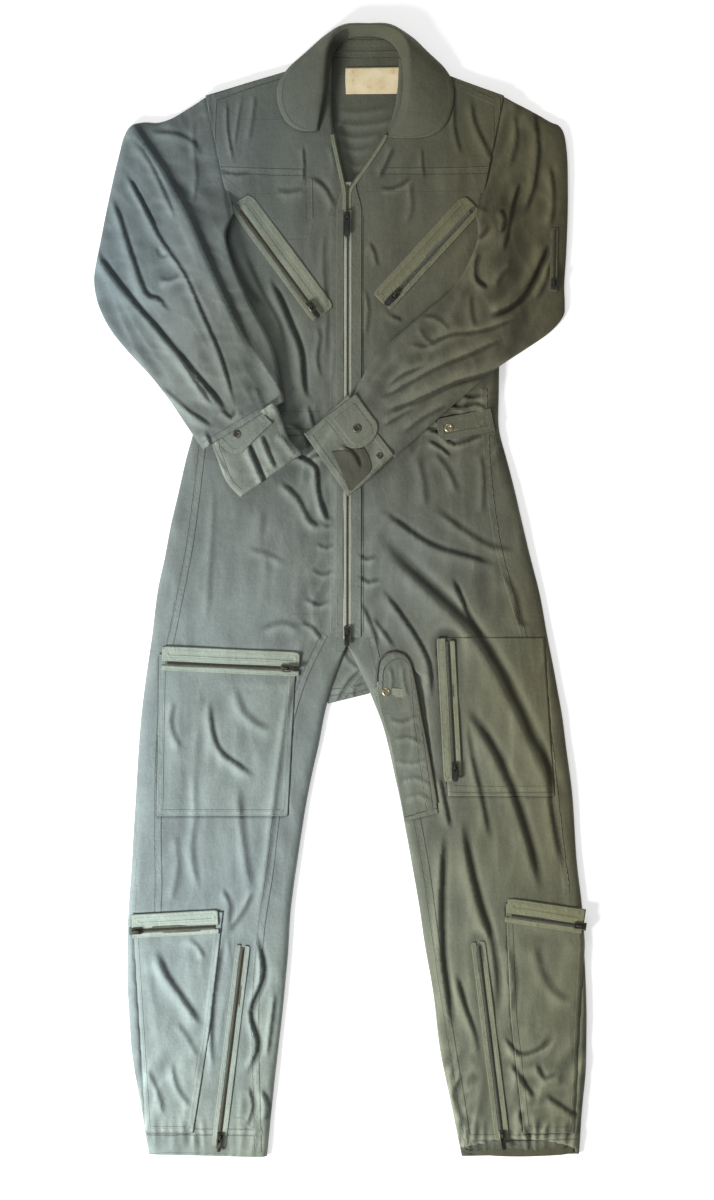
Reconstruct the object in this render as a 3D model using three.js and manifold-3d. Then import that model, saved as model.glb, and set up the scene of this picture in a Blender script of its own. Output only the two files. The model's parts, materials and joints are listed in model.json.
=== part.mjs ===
// A one-piece flying coverall in sage green cotton. It lies face up on a flat surface, with the arms folded over the waist.
// +X points to the wearer's left, +Y to the collar and +Z up. Lengths are in millimetres.
// While the pieces are laid out, y = 0 is the waist seam and x = 0 the front zip. The group is centred on its own box at the end.

import * as THREE from "three";
import { mergeVertices } from "three/addons/utils/BufferGeometryUtils.js";
import Module from "manifold-3d";

const wasm = await Module();
wasm.setup();

// ---- Driving dimensions: the cloth and how its layers lie ----
const cloth = 2.4; // one made-up wall: cloth, facings and seam allowances
const hollow = 6.6; // room between the front and the back walls
const gap = 0.3; // clearance between pieces that touch
const patchCloth = 1.2; // a patch pocket's single layer
const seamWidth = 11; // a felled seam, folded and stitched twice

// ---- Driving dimensions: trunk ----
const bodyLength = 525; // back neck seam to waist seam
const waistHalf = 212;
const chestHalf = 216;
const shoulderHalf = 209;
const shoulderDrop = 59; // back neck seam down to the shoulder tip
const shoulderShift = 11; // the shoulders lie this far to the wearer's left
const armholeInset = 34; // how far the foot of the armhole lies inside the shoulder tip
const armholeDepth = 166; // shoulder tip down to where the sleeve folds over the trunk
const underarmDrop = 286; // shoulder tip down to the underarm point
const neckHalf = 47;
const neckShift = 26;
const collarHalf = 123;
const neckDrop = 191; // back neck seam down to the foot of the open neck
const frontRise = 301; // waist seam to the front crotch point
const backRise = 376; // waist seam to the lowest point of the seat

// ---- Driving dimensions: legs, measured down the leg from the waist seam ----
const outseam = 1012;
const hipWidth = 257; // half of the trousers' width, a third of the way to the crotch
const hipDrop = 182;
const legStations = [
  { down: 0.415, width: 252, right: -163, left: 178 },
  { down: 0.595, width: 232, right: -186, left: 207 },
  { down: 0.733, width: 223, right: -197, left: 223 },
  { down: 0.858, width: 204, right: -199, left: 233 },
  { down: 1.0, width: 164, right: -195, left: 243 },
];

// ---- Driving dimensions: sleeves and cuffs ----
const cuffWidth = 108;
const cuffLength = 78;
const tabWidth = 44;
const snapFromTip = 27; // how far a cuff snap is from its tab's point
const sleeveSteps = 20; // points along each edge of a sleeve

// ---- Driving dimensions: fastenings ----
const pocketZipLength = 175;
const zipDrop = 28; // foot of the open neck down to the top of the closed front zip
const zipRise = 11; // front crotch point up to the foot of the front zip
const chestPocketDrop = 161; // shoulder tip down to the upper ends of the chest zips
const armPocketDrop = 186; // shoulder tip down to the arm pocket's zip
const ankleZipLength = 276;
const ankleZipRise = 18; // hem up to the foot of the ankle zips
const calfPocketRise = 30; // hem up to the foot of the calf pockets
const calfPocketHeight = 310;
const mainTape = 11; // half of the front zip's width
const tapeThick = 0.8;
const chainWidth = 5;
const chainHeight = 1.5;
const sliderLength = 13;
const sliderWidth = 9;
const sliderHeight = 3.2;
const snapRadius = 6.5;
const collarThick = 3.4;
const collarDrop = 108; // back neck seam down to the lowest point of the collar's wings
const labelWidth = 76;
const labelHeight = 37;
const labelThick = 0.6;

// ---- Heights that follow from them ----
const shoulderHeight = bodyLength - shoulderDrop;
const neckOpenLow = bodyLength - neckDrop;
const mainZipTop = neckOpenLow - zipDrop;
const mainZipFoot = zipRise - frontRise;
const collarFoot = bodyLength - collarDrop;
const hem = -outseam;
const frontBottom = cloth + hollow;
const frontTop = frontBottom + cloth;
const trimBottom = frontTop + gap;
const patchTop = trimBottom + patchCloth;
const bridgeHeight = 3.9;
const sliderClear = tapeThick + sliderHeight + bridgeHeight; // height that a slider needs above the tape's underside
const sleeveLift = trimBottom + sliderClear + gap; // the folded sleeves clear the front zip's sliders

// ---- Helpers ----
const fabric = (color) => new THREE.MeshStandardMaterial({ color, roughness: 0.9, metalness: 0 });
const sage = fabric(0x6b7366);
const sageLight = fabric(0x8c9480);
const cream = fabric(0xe2d6b4);
const blackLeather = new THREE.MeshStandardMaterial({ color: 0x14171a, roughness: 0.6, metalness: 0 });
const darkMetal = new THREE.MeshStandardMaterial({ color: 0x4a4b45, roughness: 0.45, metalness: 0.9 });
const brass = new THREE.MeshStandardMaterial({ color: 0xc9b483, roughness: 0.35, metalness: 0.9 });

const root = new THREE.Group();

function addMesh(name, geometry, material, parent = root) {
  const mesh = new THREE.Mesh(geometry, material);
  mesh.name = name;
  parent.add(mesh);
  return mesh;
}

const v2 = (x, y) => new THREE.Vector2(x, y);
const lerp = (a, b, t) => a + (b - a) * t;
const lerpPoint = (a, b, t) => v2(lerp(a.x, b.x, t), lerp(a.y, b.y, t));
const smooth = (t) => {
  const c = Math.min(1, Math.max(0, t));
  return c * c * (3 - 2 * c);
};

// A smooth run through a few points, as plain points.
const run = (points, steps) => new THREE.SplineCurve(points).getPoints(steps);

// A flat piece cut to an outline, lying from z upwards.
function plate(outline, z, thickness) {
  const shape = new THREE.Shape(outline);
  const geometry = new THREE.ExtrudeGeometry(shape, { depth: thickness, bevelEnabled: false });
  return geometry.translate(0, 0, z);
}

const toSolid = (geometry) => {
  const bare = geometry.index ? geometry.toNonIndexed() : geometry.clone();
  bare.deleteAttribute("normal");
  bare.deleteAttribute("uv");
  const merged = mergeVertices(bare, 1e-4);
  const mesh = new wasm.Mesh({
    numProp: 3,
    vertProperties: merged.attributes.position.array,
    triVerts: new Uint32Array(merged.index.array),
  });
  return new wasm.Manifold(mesh);
};

function toGeometry(solid) {
  const mesh = solid.getMesh();
  const geometry = new THREE.BufferGeometry();
  geometry.setAttribute("position", new THREE.BufferAttribute(new Float32Array(mesh.vertProperties), 3));
  geometry.setIndex(new THREE.BufferAttribute(new Uint32Array(mesh.triVerts), 1));
  return geometry;
}

// A strip of the given width that follows a line on its left-hand side, lying from z upwards.
function seamStrip(line, width, z, thickness) {
  const inner = line.map((p, i) => {
    const before = line[Math.max(0, i - 1)];
    const after = line[Math.min(line.length - 1, i + 1)];
    const along = v2(after.x - before.x, after.y - before.y).normalize();
    return v2(p.x - along.y * width, p.y + along.x * width);
  });
  return plate([...line, ...inner.reverse()], z, thickness);
}

// A bent wall between two edge lines with as many points each. Its underside follows lift(x, y).
// shares(i) lists where row i has its points, from 0 on the first edge to 1 on the second.
function bentWall(edgeA, edgeB, lift, z, thickness, shares) {
  const steps = edgeA.length - 1;
  const across = shares(0).length - 1;
  const positions = [];
  const index = [];
  for (const height of [z, z + thickness]) {
    for (let i = 0; i <= steps; i++) {
      for (const share of shares(i)) {
        const p = lerpPoint(edgeA[i], edgeB[i], share);
        positions.push(p.x, p.y, lift(p.x, p.y) + height);
      }
    }
  }
  const row = across + 1;
  const at = (top, i, j) => (top * (steps + 1) + i) * row + j;
  const quad = (p, q, r, s) => index.push(p, q, r, p, r, s);
  for (let i = 0; i < steps; i++) {
    for (let j = 0; j < across; j++) {
      quad(at(1, i, j), at(1, i + 1, j), at(1, i + 1, j + 1), at(1, i, j + 1));
      quad(at(0, i, j), at(0, i, j + 1), at(0, i + 1, j + 1), at(0, i + 1, j));
    }
    quad(at(0, i, 0), at(0, i + 1, 0), at(1, i + 1, 0), at(1, i, 0));
    quad(at(0, i + 1, across), at(0, i, across), at(1, i, across), at(1, i + 1, across));
  }
  for (let j = 0; j < across; j++) {
    quad(at(0, 0, j + 1), at(0, 0, j), at(1, 0, j), at(1, 0, j + 1));
    quad(at(0, steps, j), at(0, steps, j + 1), at(1, steps, j + 1), at(1, steps, j));
  }
  const facesOut = signedArea(edgeA, edgeB) > 0;
  const geometry = new THREE.BufferGeometry();
  geometry.setAttribute("position", new THREE.BufferAttribute(new Float32Array(positions), 3));
  geometry.setIndex(facesOut ? index : index.reverse());
  return toSolid(geometry);
}

const signedArea = (edgeA, edgeB) => THREE.ShapeUtils.area([...edgeA, ...[...edgeB].reverse()]);

// ---- Outlines: side is -1 for the wearer's right and +1 for the left ----
const sideName = (side) => (side < 0 ? "right" : "left");
const stationCentre = (station, side) => (side < 0 ? station.right : station.left);

function outerLegLine(side) {
  const stations = legStations.map((s) => v2(stationCentre(s, side) + (side * s.width) / 2, -s.down * outseam));
  return run([v2(side * waistHalf, 0), v2(side * hipWidth, -hipDrop), ...stations], 22);
}

function innerLegLine(side, rise) {
  const stations = legStations.map((s) => v2(stationCentre(s, side) - (side * s.width) / 2, -s.down * outseam));
  return run([v2((side * gap) / 2, -rise), ...stations], 16);
}

function trouserOutline(side, rise) {
  const outer = outerLegLine(side);
  const inner = innerLegLine(side, rise).reverse();
  return [v2((side * gap) / 2, 0), ...outer, ...inner];
}

const shoulderTip = (side) => v2(shoulderShift + side * shoulderHalf, shoulderHeight);
const armholeFoot = (side) => v2(shoulderShift + side * (shoulderHalf - armholeInset), shoulderHeight - armholeDepth);

// From the waist up the side to the foot of the armhole.
function trunkSideLine(side) {
  const foot = armholeFoot(side);
  const underarm = v2(side * chestHalf, shoulderHeight - underarmDrop);
  return run([v2(side * waistHalf, gap), underarm, v2(foot.x + side * 20, foot.y - 56), foot], 12);
}

const neckPoint = (side) => v2(neckShift + side * neckHalf, bodyLength - 5);

// The edge of the open neck, from the shoulder down to the foot of the opening.
function neckLine(side) {
  const middle = v2(neckShift * 0.8 + side * neckHalf * 0.86, lerp(neckOpenLow, bodyLength, 0.5));
  return run([neckPoint(side), middle, v2((side * gap) / 2, neckOpenLow)], 8);
}

function trunkFrontOutline(side) {
  return [v2((side * gap) / 2, gap), ...trunkSideLine(side), shoulderTip(side), ...neckLine(side)];
}

const backNeck = (side) => v2(neckShift + side * neckHalf, bodyLength + 14);

function trunkBackOutline() {
  const left = [...trunkSideLine(1), shoulderTip(1), backNeck(1)];
  const right = [...trunkSideLine(-1), shoulderTip(-1), backNeck(-1)].reverse();
  return [...left, ...right];
}

// ---- Trunk and trousers: walls of cloth with felled seams between them ----
function buildWalls() {
  const seamHeight = hollow - 2 * gap;
  const seamBottom = cloth + gap;
  const shoulderSeam = (side) => {
    const line = [shoulderTip(side), lerpPoint(neckPoint(side), shoulderTip(side), 0.06)];
    return toSolid(seamStrip(side < 0 ? line.reverse() : line, seamWidth, cloth - 0.2, seamHeight + gap + 0.2));
  };
  const back = toSolid(plate(trunkBackOutline(), 0, cloth));
  addMesh("torso_back", toGeometry(back.add(shoulderSeam(-1)).add(shoulderSeam(1))), sage);
  for (const side of [-1, 1]) {
    const name = sideName(side);
    addMesh(`trouser_back_${name}`, plate(trouserOutline(side, backRise), 0, cloth), sage);
    addMesh(`trouser_front_${name}`, plate(trouserOutline(side, frontRise), frontBottom, cloth), sage);
    addMesh(`torso_front_${name}`, plate(trunkFrontOutline(side), frontBottom, cloth), sage);
    const outer = [...outerLegLine(side).reverse(), ...trunkSideLine(side)];
    const line = side < 0 ? outer.reverse() : outer;
    addMesh(`side_seam_${name}`, seamStrip(line, seamWidth, seamBottom, seamHeight), sage);
  }
  const right = innerLegLine(-1, backRise - seamWidth).reverse();
  const left = innerLegLine(1, backRise - seamWidth);
  const inseam = [...right.slice(0, -1), v2(0, -backRise + seamWidth), ...left.slice(1)];
  addMesh("inseam", seamStrip(inseam, seamWidth, seamBottom, seamHeight), sage);
}

// ---- Collar: one folded piece around the open neck ----
function buildCollar() {
  const wing = (side) => {
    const at = (half, rise) => v2(neckShift + side * half, collarFoot + rise);
    const inside = lerp(neckHalf, collarHalf, 0.06);
    const outer = [at(collarHalf - 39, 0), at(collarHalf - 10, 17), at(collarHalf, 49), at(collarHalf - 17, 83)];
    const top = [at(collarHalf - 51, 119), at(neckHalf - 2, collarDrop + 37)];
    const inner = [at(neckHalf - 3, collarDrop + 22), at(inside - 2, 83), at(inside, 43), at(inside + 3, 7)];
    return { outer: run([...outer, ...top], 12), inner: run(inner, 6) };
  };
  const right = wing(-1);
  const left = wing(1);
  const outline = [...right.outer, ...left.outer.reverse(), ...left.inner.reverse(), ...right.inner];
  const fall = toSolid(plate(outline, trimBottom, collarThick));
  const standTop = bodyLength + 13;
  const standBack = [
    v2(neckShift - neckHalf + 4, standTop - 8),
    v2(neckShift + neckHalf - 4, standTop - 8),
    v2(neckShift + neckHalf - 4, bodyLength + 26),
    v2(neckShift - neckHalf + 4, bodyLength + 26),
  ];
  const stand = toSolid(plate(standBack, cloth + gap, trimBottom - cloth - gap + 1));
  addMesh("collar", toGeometry(fall.add(stand)), sage);
}

function buildLabel() {
  const label = new THREE.BoxGeometry(labelWidth, labelHeight, labelThick);
  label.translate(neckShift + 10, bodyLength - labelHeight, cloth + gap + labelThick / 2);
  addMesh("neck_label", label, cream);
}

// ---- Sleeves ----
// Each sleeve lies on the surface beside the trunk, then climbs over the trunk's edge to the waist.
// Its edges are given as distances from the front zip and as shares of the shoulder's height above the waist.
const edge = (points) => points.map(([x, share]) => v2(x, share * shoulderHeight));
const sleeves = {
  right: {
    side: -1,
    outer: edge([[-252, 0.927], [-302, 0.912], [-322, 0.794], [-345, 0.562], [-353, 0.425], [-328, 0.292], [-262, 0.129], [-200, -0.064]]),
    inner: edge([[-168, 0.562], [-140, 0.382], [-112, 0.236], [-97, 0.082]]),
    tab: { down: -4, fromEdge: 20, turn: 12, length: 72 },
  },
  left: {
    side: 1,
    outer: edge([[278, 0.931], [304, 0.884], [309, 0.691], [304, 0.436], [296, 0.318], [214, 0.189], [150, 0.075], [66, -0.086]]),
    inner: edge([[182, 0.562], [152, 0.433], [106, 0.343], [41, 0.219], [5, 0.086]]),
    tab: { down: 14, fromEdge: 3, turn: 0, length: 65 },
  },
};

function liftOver(side) {
  const start = side * (chestHalf + 50);
  return (x, y) => {
    const overTrunk = smooth((side * (start - x)) / 62);
    const belowFold = smooth((shoulderHeight - armholeDepth + 54 - y) / 84);
    return sleeveLift * overTrunk * belowFold;
  };
}

function sleeveEdges(sleeve) {
  const clear = sleeve.side * 2 * gap;
  const tip = shoulderTip(sleeve.side);
  const foot = armholeFoot(sleeve.side);
  const outer = run([v2(tip.x + clear, tip.y), ...sleeve.outer], sleeveSteps);
  const inner = run([v2(foot.x + clear, foot.y), ...sleeve.inner], sleeveSteps);
  return { outer, inner };
}

// The lower layer has its edge seams turned up, and the upper layer lies on them.
function buildSleeve(sleeve) {
  const name = sideName(sleeve.side);
  const { outer, inner } = sleeveEdges(sleeve);
  const lift = liftOver(sleeve.side);
  const seamShare = (i) => seamWidth / outer[i].distanceTo(inner[i]);
  const shares = (i) => {
    const seam = seamShare(i);
    return [0, seam, ...[0.2, 0.4, 0.6, 0.8].map((t) => lerp(seam, 1 - seam, t)), 1 - seam, 1];
  };
  const wall = (z, thickness, at) => bentWall(outer, inner, lift, z, thickness, at);
  const seam = (at) => wall(cloth - 0.2, hollow - gap + 0.2, at);
  const under = wall(0, cloth, shares)
    .add(seam((i) => [0, seamShare(i)]))
    .add(seam((i) => [1 - seamShare(i), 1]));
  addMesh(`sleeve_${name}_top`, toGeometry(wall(frontBottom, cloth, shares)), sage);
  addMesh(`sleeve_${name}_under`, toGeometry(under), sage);
}

// A cuff is a flat tube across the sleeve's end, with a pointed tab that wraps over it.
function cuffFrame(sleeve) {
  const end = sleeve.outer[sleeve.outer.length - 1];
  const start = sleeve.inner[sleeve.inner.length - 1];
  const across = v2(start.x - end.x, start.y - end.y).normalize();
  const along = v2(-sleeve.side * across.y, sleeve.side * across.x);
  const middle = lerpPoint(start, end, 0.5);
  return { at: v2(middle.x + along.x * 3, middle.y + along.y * 3), angle: Math.atan2(along.y, along.x) };
}

function buildCuff(sleeve) {
  const name = sideName(sleeve.side);
  const frame = cuffFrame(sleeve);
  const height = frontTop;
  const half = cuffWidth / 2;
  const shape = new THREE.Shape([v2(-half, 0), v2(half, 0), v2(half, height), v2(-half, height)]);
  const hole = [v2(-half + cloth, cloth), v2(-half + cloth, cloth + hollow), v2(half - cloth, cloth + hollow), v2(half - cloth, cloth)];
  shape.holes.push(new THREE.Path(hole));
  const geometry = new THREE.ExtrudeGeometry(shape, { depth: cuffLength, bevelEnabled: false });
  geometry.rotateX(Math.PI / 2).rotateZ(Math.PI / 2); // the tube now runs along +X
  const group = new THREE.Group();
  group.position.set(frame.at.x, frame.at.y, sleeveLift);
  group.rotation.z = frame.angle;
  root.add(group);
  addMesh(`cuff_${name}`, geometry, sage, group);
  const { down, fromEdge, turn, length } = sleeve.tab;
  const tab = new THREE.Group();
  tab.position.set(down, -sleeve.side * (half - fromEdge), height + gap);
  tab.rotation.z = sleeve.side * THREE.MathUtils.degToRad(90 - turn);
  group.add(tab);
  buildTab(`cuff_tab_${name}`, length, tabWidth, tab);
  addMesh(`cuff_snap_${name}`, snapCap(), darkMetal, tab).position.set(length - snapFromTip, 0, patchCloth + gap);
}

// A tab with a pointed end, sewn on at x = 0.
function buildTab(name, length, width, parent) {
  const half = width / 2;
  const outline = [v2(0, -half), v2(length - half * 0.6, -half), v2(length, 0), v2(length - half * 0.6, half), v2(0, half)];
  addMesh(name, plate(outline, 0, patchCloth), sage, parent);
}

function snapCap() {
  const profile = [v2(0, 0), v2(snapRadius, 0), v2(snapRadius, 0.7), v2(snapRadius * 0.7, 1.7), v2(snapRadius * 0.35, 2), v2(0, 2)];
  return new THREE.LatheGeometry(profile, 20).rotateX(Math.PI / 2);
}

// ---- Patch pockets ----
function buildPatches() {
  const patch = (name, outline) => addMesh(name, plate(outline, trimBottom, patchCloth), sage);
  patch("thigh_pocket_right", [v2(-262, -312), v2(-70, -318), v2(-82, -540), v2(-266, -540)]);
  patch("thigh_pocket_left", [v2(124, -290), v2(276, -290), v2(292, -512), v2(140, -512)]);
  const foot = hem + calfPocketRise;
  const up = (x, share) => v2(x, foot + share * calfPocketHeight);
  patch("calf_pocket_right", [up(-302, 0.987), up(-172, 1), up(-176, 0.89), up(-190, 0.49), up(-214, 0), up(-283, 0)]);
  patch("calf_pocket_left", [up(246, 0), up(228, 0.52), up(221, 1.039), up(330, 0.994), up(333, 0.845), up(320, 0)]);
  const arch = run([v2(42, -372), v2(46, -334), v2(62, -316), v2(82, -318), v2(96, -338)], 10);
  patch("knife_pocket", [...arch, v2(108, -342), v2(119, -462), v2(128, -536), v2(80, -548), v2(60, -440)]);
}

// ---- Zips ----
// A zip lies along +X in its own group: tape and teeth, then the slider, then its pull on a cross pin.
function zipStrip(length, tapeLow, tapeHigh) {
  const half = chainWidth / 2;
  const profile = [
    v2(-tapeLow, 0),
    v2(tapeHigh, 0),
    v2(tapeHigh, tapeThick),
    v2(half, tapeThick),
    v2(half, tapeThick + chainHeight),
    v2(-half, tapeThick + chainHeight),
    v2(-half, tapeThick),
    v2(-tapeLow, tapeThick),
  ];
  const strip = new THREE.ExtrudeGeometry(new THREE.Shape(profile), { depth: length, bevelEnabled: false });
  return strip.rotateX(Math.PI / 2).rotateZ(Math.PI / 2);
}

const pinUp = tapeThick + sliderHeight + 0.25 + 1.2; // height of the pull's cross pin

function sliderBody() {
  const half = sliderWidth / 2;
  const groove = chainWidth / 2 + 0.4;
  const low = tapeThick + gap;
  const profile = [
    v2(-half, low),
    v2(-groove, low),
    v2(-groove, tapeThick + chainHeight + gap),
    v2(groove, tapeThick + chainHeight + gap),
    v2(groove, low),
    v2(half, low),
    v2(half, tapeThick + sliderHeight - 0.8),
    v2(half - 1, tapeThick + sliderHeight),
    v2(-half + 1, tapeThick + sliderHeight),
    v2(-half, tapeThick + sliderHeight - 0.8),
  ];
  const channel = new THREE.ExtrudeGeometry(new THREE.Shape(profile), { depth: sliderLength, bevelEnabled: false });
  channel.rotateX(Math.PI / 2).rotateZ(Math.PI / 2).translate(-sliderLength / 2, 0, 0);
  const foot = tapeThick + sliderHeight - 0.2;
  const arch = new THREE.Shape([v2(-3.6, foot), v2(3.6, foot), v2(3.6, foot + 3.1), v2(2.8, foot + 4), v2(-2.8, foot + 4), v2(-3.6, foot + 3.1)]);
  arch.holes.push(new THREE.Path([v2(-2.1, foot + 0.3), v2(-2.1, foot + 2.8), v2(2.1, foot + 2.8), v2(2.1, foot + 0.3)]));
  const bridge = new THREE.ExtrudeGeometry(arch, { depth: 2.2, bevelEnabled: false });
  bridge.translate(0, 0, -1.1).rotateX(Math.PI / 2);
  return toGeometry(toSolid(channel).add(toSolid(bridge)));
}

// The pull lies along +X from its cross pin, with a window that the slider's bridge passes through.
function pullTab(length, width) {
  const half = width / 2;
  const pin = 0.65;
  const outline = new THREE.Shape();
  outline.moveTo(-pin, -half);
  outline.lineTo(length - half, -half);
  outline.absarc(length - half, 0, half, -Math.PI / 2, Math.PI / 2, false);
  outline.lineTo(-pin, half);
  outline.closePath();
  const window = [v2(pin, -1.7), v2(pin, 1.7), v2(5.4, 1.7), v2(5.4, -1.7)];
  outline.holes.push(new THREE.Path(window));
  const geometry = new THREE.ExtrudeGeometry(outline, { depth: 2 * pin, bevelEnabled: false, curveSegments: 8 });
  return geometry.translate(0, 0, -pin);
}

// start is where the zip begins, and end is where its slider rests.
function buildZip({ name, start, end, z, tapeLow = 9, tapeHigh = 9, pull = "metal", pullLength = 20, parent = root }) {
  const length = start.distanceTo(end);
  const group = new THREE.Group();
  group.position.set(start.x, start.y, z);
  group.rotation.z = Math.atan2(end.y - start.y, end.x - start.x);
  parent.add(group);
  addMesh(`${name}_zip`, zipStrip(length, tapeLow, tapeHigh), sageLight, group);
  addSlider(name, group, length - sliderLength / 2 - 3, pull, pullLength);
}

function addSlider(name, group, at, pull, pullLength, facing = 1) {
  const carrier = new THREE.Group();
  carrier.position.x = at;
  carrier.rotation.z = facing < 0 ? Math.PI : 0;
  group.add(carrier);
  addMesh(`${name}_slider`, sliderBody(), darkMetal, carrier);
  const leather = pull === "leather";
  const tab = pullTab(pullLength, leather ? 9 : 7);
  addMesh(`${name}_pull`, tab, leather ? blackLeather : darkMetal, carrier).position.z = pinUp;
}

// Above the upper slider, each half of the tape runs up the edge of the open neck as far as the collar.
function zipArm(side) {
  const edge = neckLine(side).filter((p) => p.y < collarFoot - 4);
  const line = [...edge, v2((side * gap) / 2, mainZipTop - 5)];
  return toSolid(seamStrip(side < 0 ? line.reverse() : line, mainTape, trimBottom, tapeThick));
}

// The front zip runs from the foot of the open neck to the crotch, and has a slider at each end.
function buildMainZip() {
  const length = mainZipTop - mainZipFoot;
  const group = new THREE.Group();
  group.position.set(0, mainZipFoot, trimBottom);
  group.rotation.z = Math.PI / 2;
  root.add(group);
  const strip = zipStrip(length, mainTape, mainTape).rotateZ(Math.PI / 2).translate(0, mainZipFoot, trimBottom);
  addMesh("main_zip", toGeometry(toSolid(strip).add(zipArm(-1)).add(zipArm(1))), sageLight);
  addSlider("main_upper", group, length - sliderLength / 2 - 2, "leather", 30, -1);
  addSlider("main_lower", group, sliderLength / 2 + 2, "metal", 22, -1);
}

function buildPocketZips() {
  const overPatch = patchTop + gap;
  const along = (from, angle, length) => {
    const turn = THREE.MathUtils.degToRad(angle);
    return v2(from.x + Math.cos(turn) * length, from.y + Math.sin(turn) * length);
  };
  const chestRight = v2(-149, shoulderHeight - chestPocketDrop);
  const chestLeft = v2(172, shoulderHeight - chestPocketDrop - 3);
  buildZip({ name: "chest_right", start: chestRight, end: along(chestRight, -53.5, pocketZipLength), z: trimBottom, tapeHigh: 27 });
  buildZip({
    name: "chest_left",
    start: chestLeft,
    end: along(chestLeft, -132.5, pocketZipLength - 10),
    z: trimBottom,
    tapeLow: 25,
    pull: "leather",
  });
  const thighRight = v2(-251, -326);
  buildZip({ name: "thigh_right", start: thighRight, end: along(thighRight, -2.5, pocketZipLength), z: overPatch, tapeHigh: 24 });
  const thighLeft = v2(141, -298);
  buildZip({
    name: "thigh_left",
    start: thighLeft,
    end: along(thighLeft, -87, pocketZipLength + 8),
    z: overPatch,
    tapeLow: 16,
    pull: "leather",
  });
  const ankleTop = hem + ankleZipRise + ankleZipLength;
  const ankleRight = v2(-145, ankleTop - 7);
  buildZip({ name: "ankle_right", start: ankleRight, end: along(ankleRight, -97, ankleZipLength - 2), z: trimBottom });
  const ankleLeft = v2(184, ankleTop - 2);
  buildZip({ name: "ankle_left", start: ankleLeft, end: along(ankleLeft, -83, ankleZipLength), z: trimBottom });
}

// The calf pockets' zips run round to the outer edge, where the slider has its pull made in one piece with it.
function buildCalfZip(side, start, angle, length) {
  const group = new THREE.Group();
  group.position.set(start.x, start.y, patchTop + gap);
  group.rotation.z = THREE.MathUtils.degToRad(angle);
  root.add(group);
  const high = side < 0 ? 9 : 24;
  const low = side < 0 ? 24 : 9;
  addMesh(`calf_${sideName(side)}_zip`, zipStrip(length, low, high), sageLight, group);
  addMesh(`calf_${sideName(side)}_slider`, sliderBody(), darkMetal, group).position.x = length - sliderLength / 2 - 2;
}

function buildSleevePocket() {
  const group = new THREE.Group();
  group.position.set(290, shoulderHeight - armPocketDrop, trimBottom);
  group.rotation.z = THREE.MathUtils.degToRad(-91);
  root.add(group);
  const length = 86;
  addMesh("sleeve_pocket_zip", zipStrip(length, 8, 8), sageLight, group);
  addMesh("sleeve_pocket_slider", sliderBody(), blackLeather, group).position.x = length - sliderLength / 2 - 2;
}

// ---- Waist tab and knife pocket strap ----
function buildStraps() {
  const waist = new THREE.Group();
  waist.position.set(waistHalf - 9, 14, trimBottom);
  waist.rotation.z = THREE.MathUtils.degToRad(-169);
  root.add(waist);
  buildTab("waist_tab_left", 78, 34, waist);
  addMesh("waist_snap_left", snapCap(), brass, waist).position.set(62, 0, patchCloth + gap);
  const strap = new THREE.Group();
  strap.position.set(82, -368, patchTop + gap);
  strap.rotation.z = THREE.MathUtils.degToRad(176);
  root.add(strap);
  buildTab("knife_strap", 46, 15, strap);
  addMesh("knife_snap", snapCap(), brass, strap).position.set(27, 0, patchCloth + gap);
}

buildWalls();
buildCollar();
buildLabel();
buildSleeve(sleeves.right);
buildSleeve(sleeves.left);
buildCuff(sleeves.right);
buildCuff(sleeves.left);
buildPatches();
buildMainZip();
buildPocketZips();
const calfTop = hem + calfPocketRise + calfPocketHeight;
buildCalfZip(-1, v2(-186, calfTop - 22), 183, 116);
buildCalfZip(1, v2(229, calfTop - 6), -8.5, 104);
buildSleevePocket();
buildStraps();

// The origin is the middle of the underside of the whole garment's box.
const box = new THREE.Box3().setFromObject(root);
const centre = box.getCenter(new THREE.Vector3());
root.position.set(-centre.x, -centre.y, -box.min.z);

export default root;
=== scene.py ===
import json
import math

import bmesh
import bpy
import numpy as np
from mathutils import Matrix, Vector


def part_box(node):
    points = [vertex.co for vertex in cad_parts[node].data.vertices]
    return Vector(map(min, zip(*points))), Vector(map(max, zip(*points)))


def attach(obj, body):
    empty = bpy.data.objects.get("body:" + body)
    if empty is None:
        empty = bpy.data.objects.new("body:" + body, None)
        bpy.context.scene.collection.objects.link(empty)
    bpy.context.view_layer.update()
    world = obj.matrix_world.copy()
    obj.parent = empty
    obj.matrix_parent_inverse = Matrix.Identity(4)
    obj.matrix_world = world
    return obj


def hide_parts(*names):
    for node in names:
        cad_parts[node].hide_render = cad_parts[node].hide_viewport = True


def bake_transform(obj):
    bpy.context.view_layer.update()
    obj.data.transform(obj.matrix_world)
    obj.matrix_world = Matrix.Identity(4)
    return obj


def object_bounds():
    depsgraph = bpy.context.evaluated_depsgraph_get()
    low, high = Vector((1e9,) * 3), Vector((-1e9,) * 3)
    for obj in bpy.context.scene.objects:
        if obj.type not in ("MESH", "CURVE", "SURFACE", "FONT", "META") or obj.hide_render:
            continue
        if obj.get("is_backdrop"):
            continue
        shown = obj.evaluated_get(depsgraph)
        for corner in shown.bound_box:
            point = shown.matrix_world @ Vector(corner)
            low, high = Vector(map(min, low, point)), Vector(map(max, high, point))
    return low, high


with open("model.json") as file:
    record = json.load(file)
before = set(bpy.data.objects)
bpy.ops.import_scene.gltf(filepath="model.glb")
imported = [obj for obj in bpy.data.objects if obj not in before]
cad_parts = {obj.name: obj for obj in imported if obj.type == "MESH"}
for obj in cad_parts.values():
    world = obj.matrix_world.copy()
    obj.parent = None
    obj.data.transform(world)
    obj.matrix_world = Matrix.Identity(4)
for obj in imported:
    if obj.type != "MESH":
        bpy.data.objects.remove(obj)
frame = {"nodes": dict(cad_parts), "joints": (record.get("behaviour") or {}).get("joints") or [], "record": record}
cadBox = [list(corner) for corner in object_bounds()]
mm = 0.001

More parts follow.
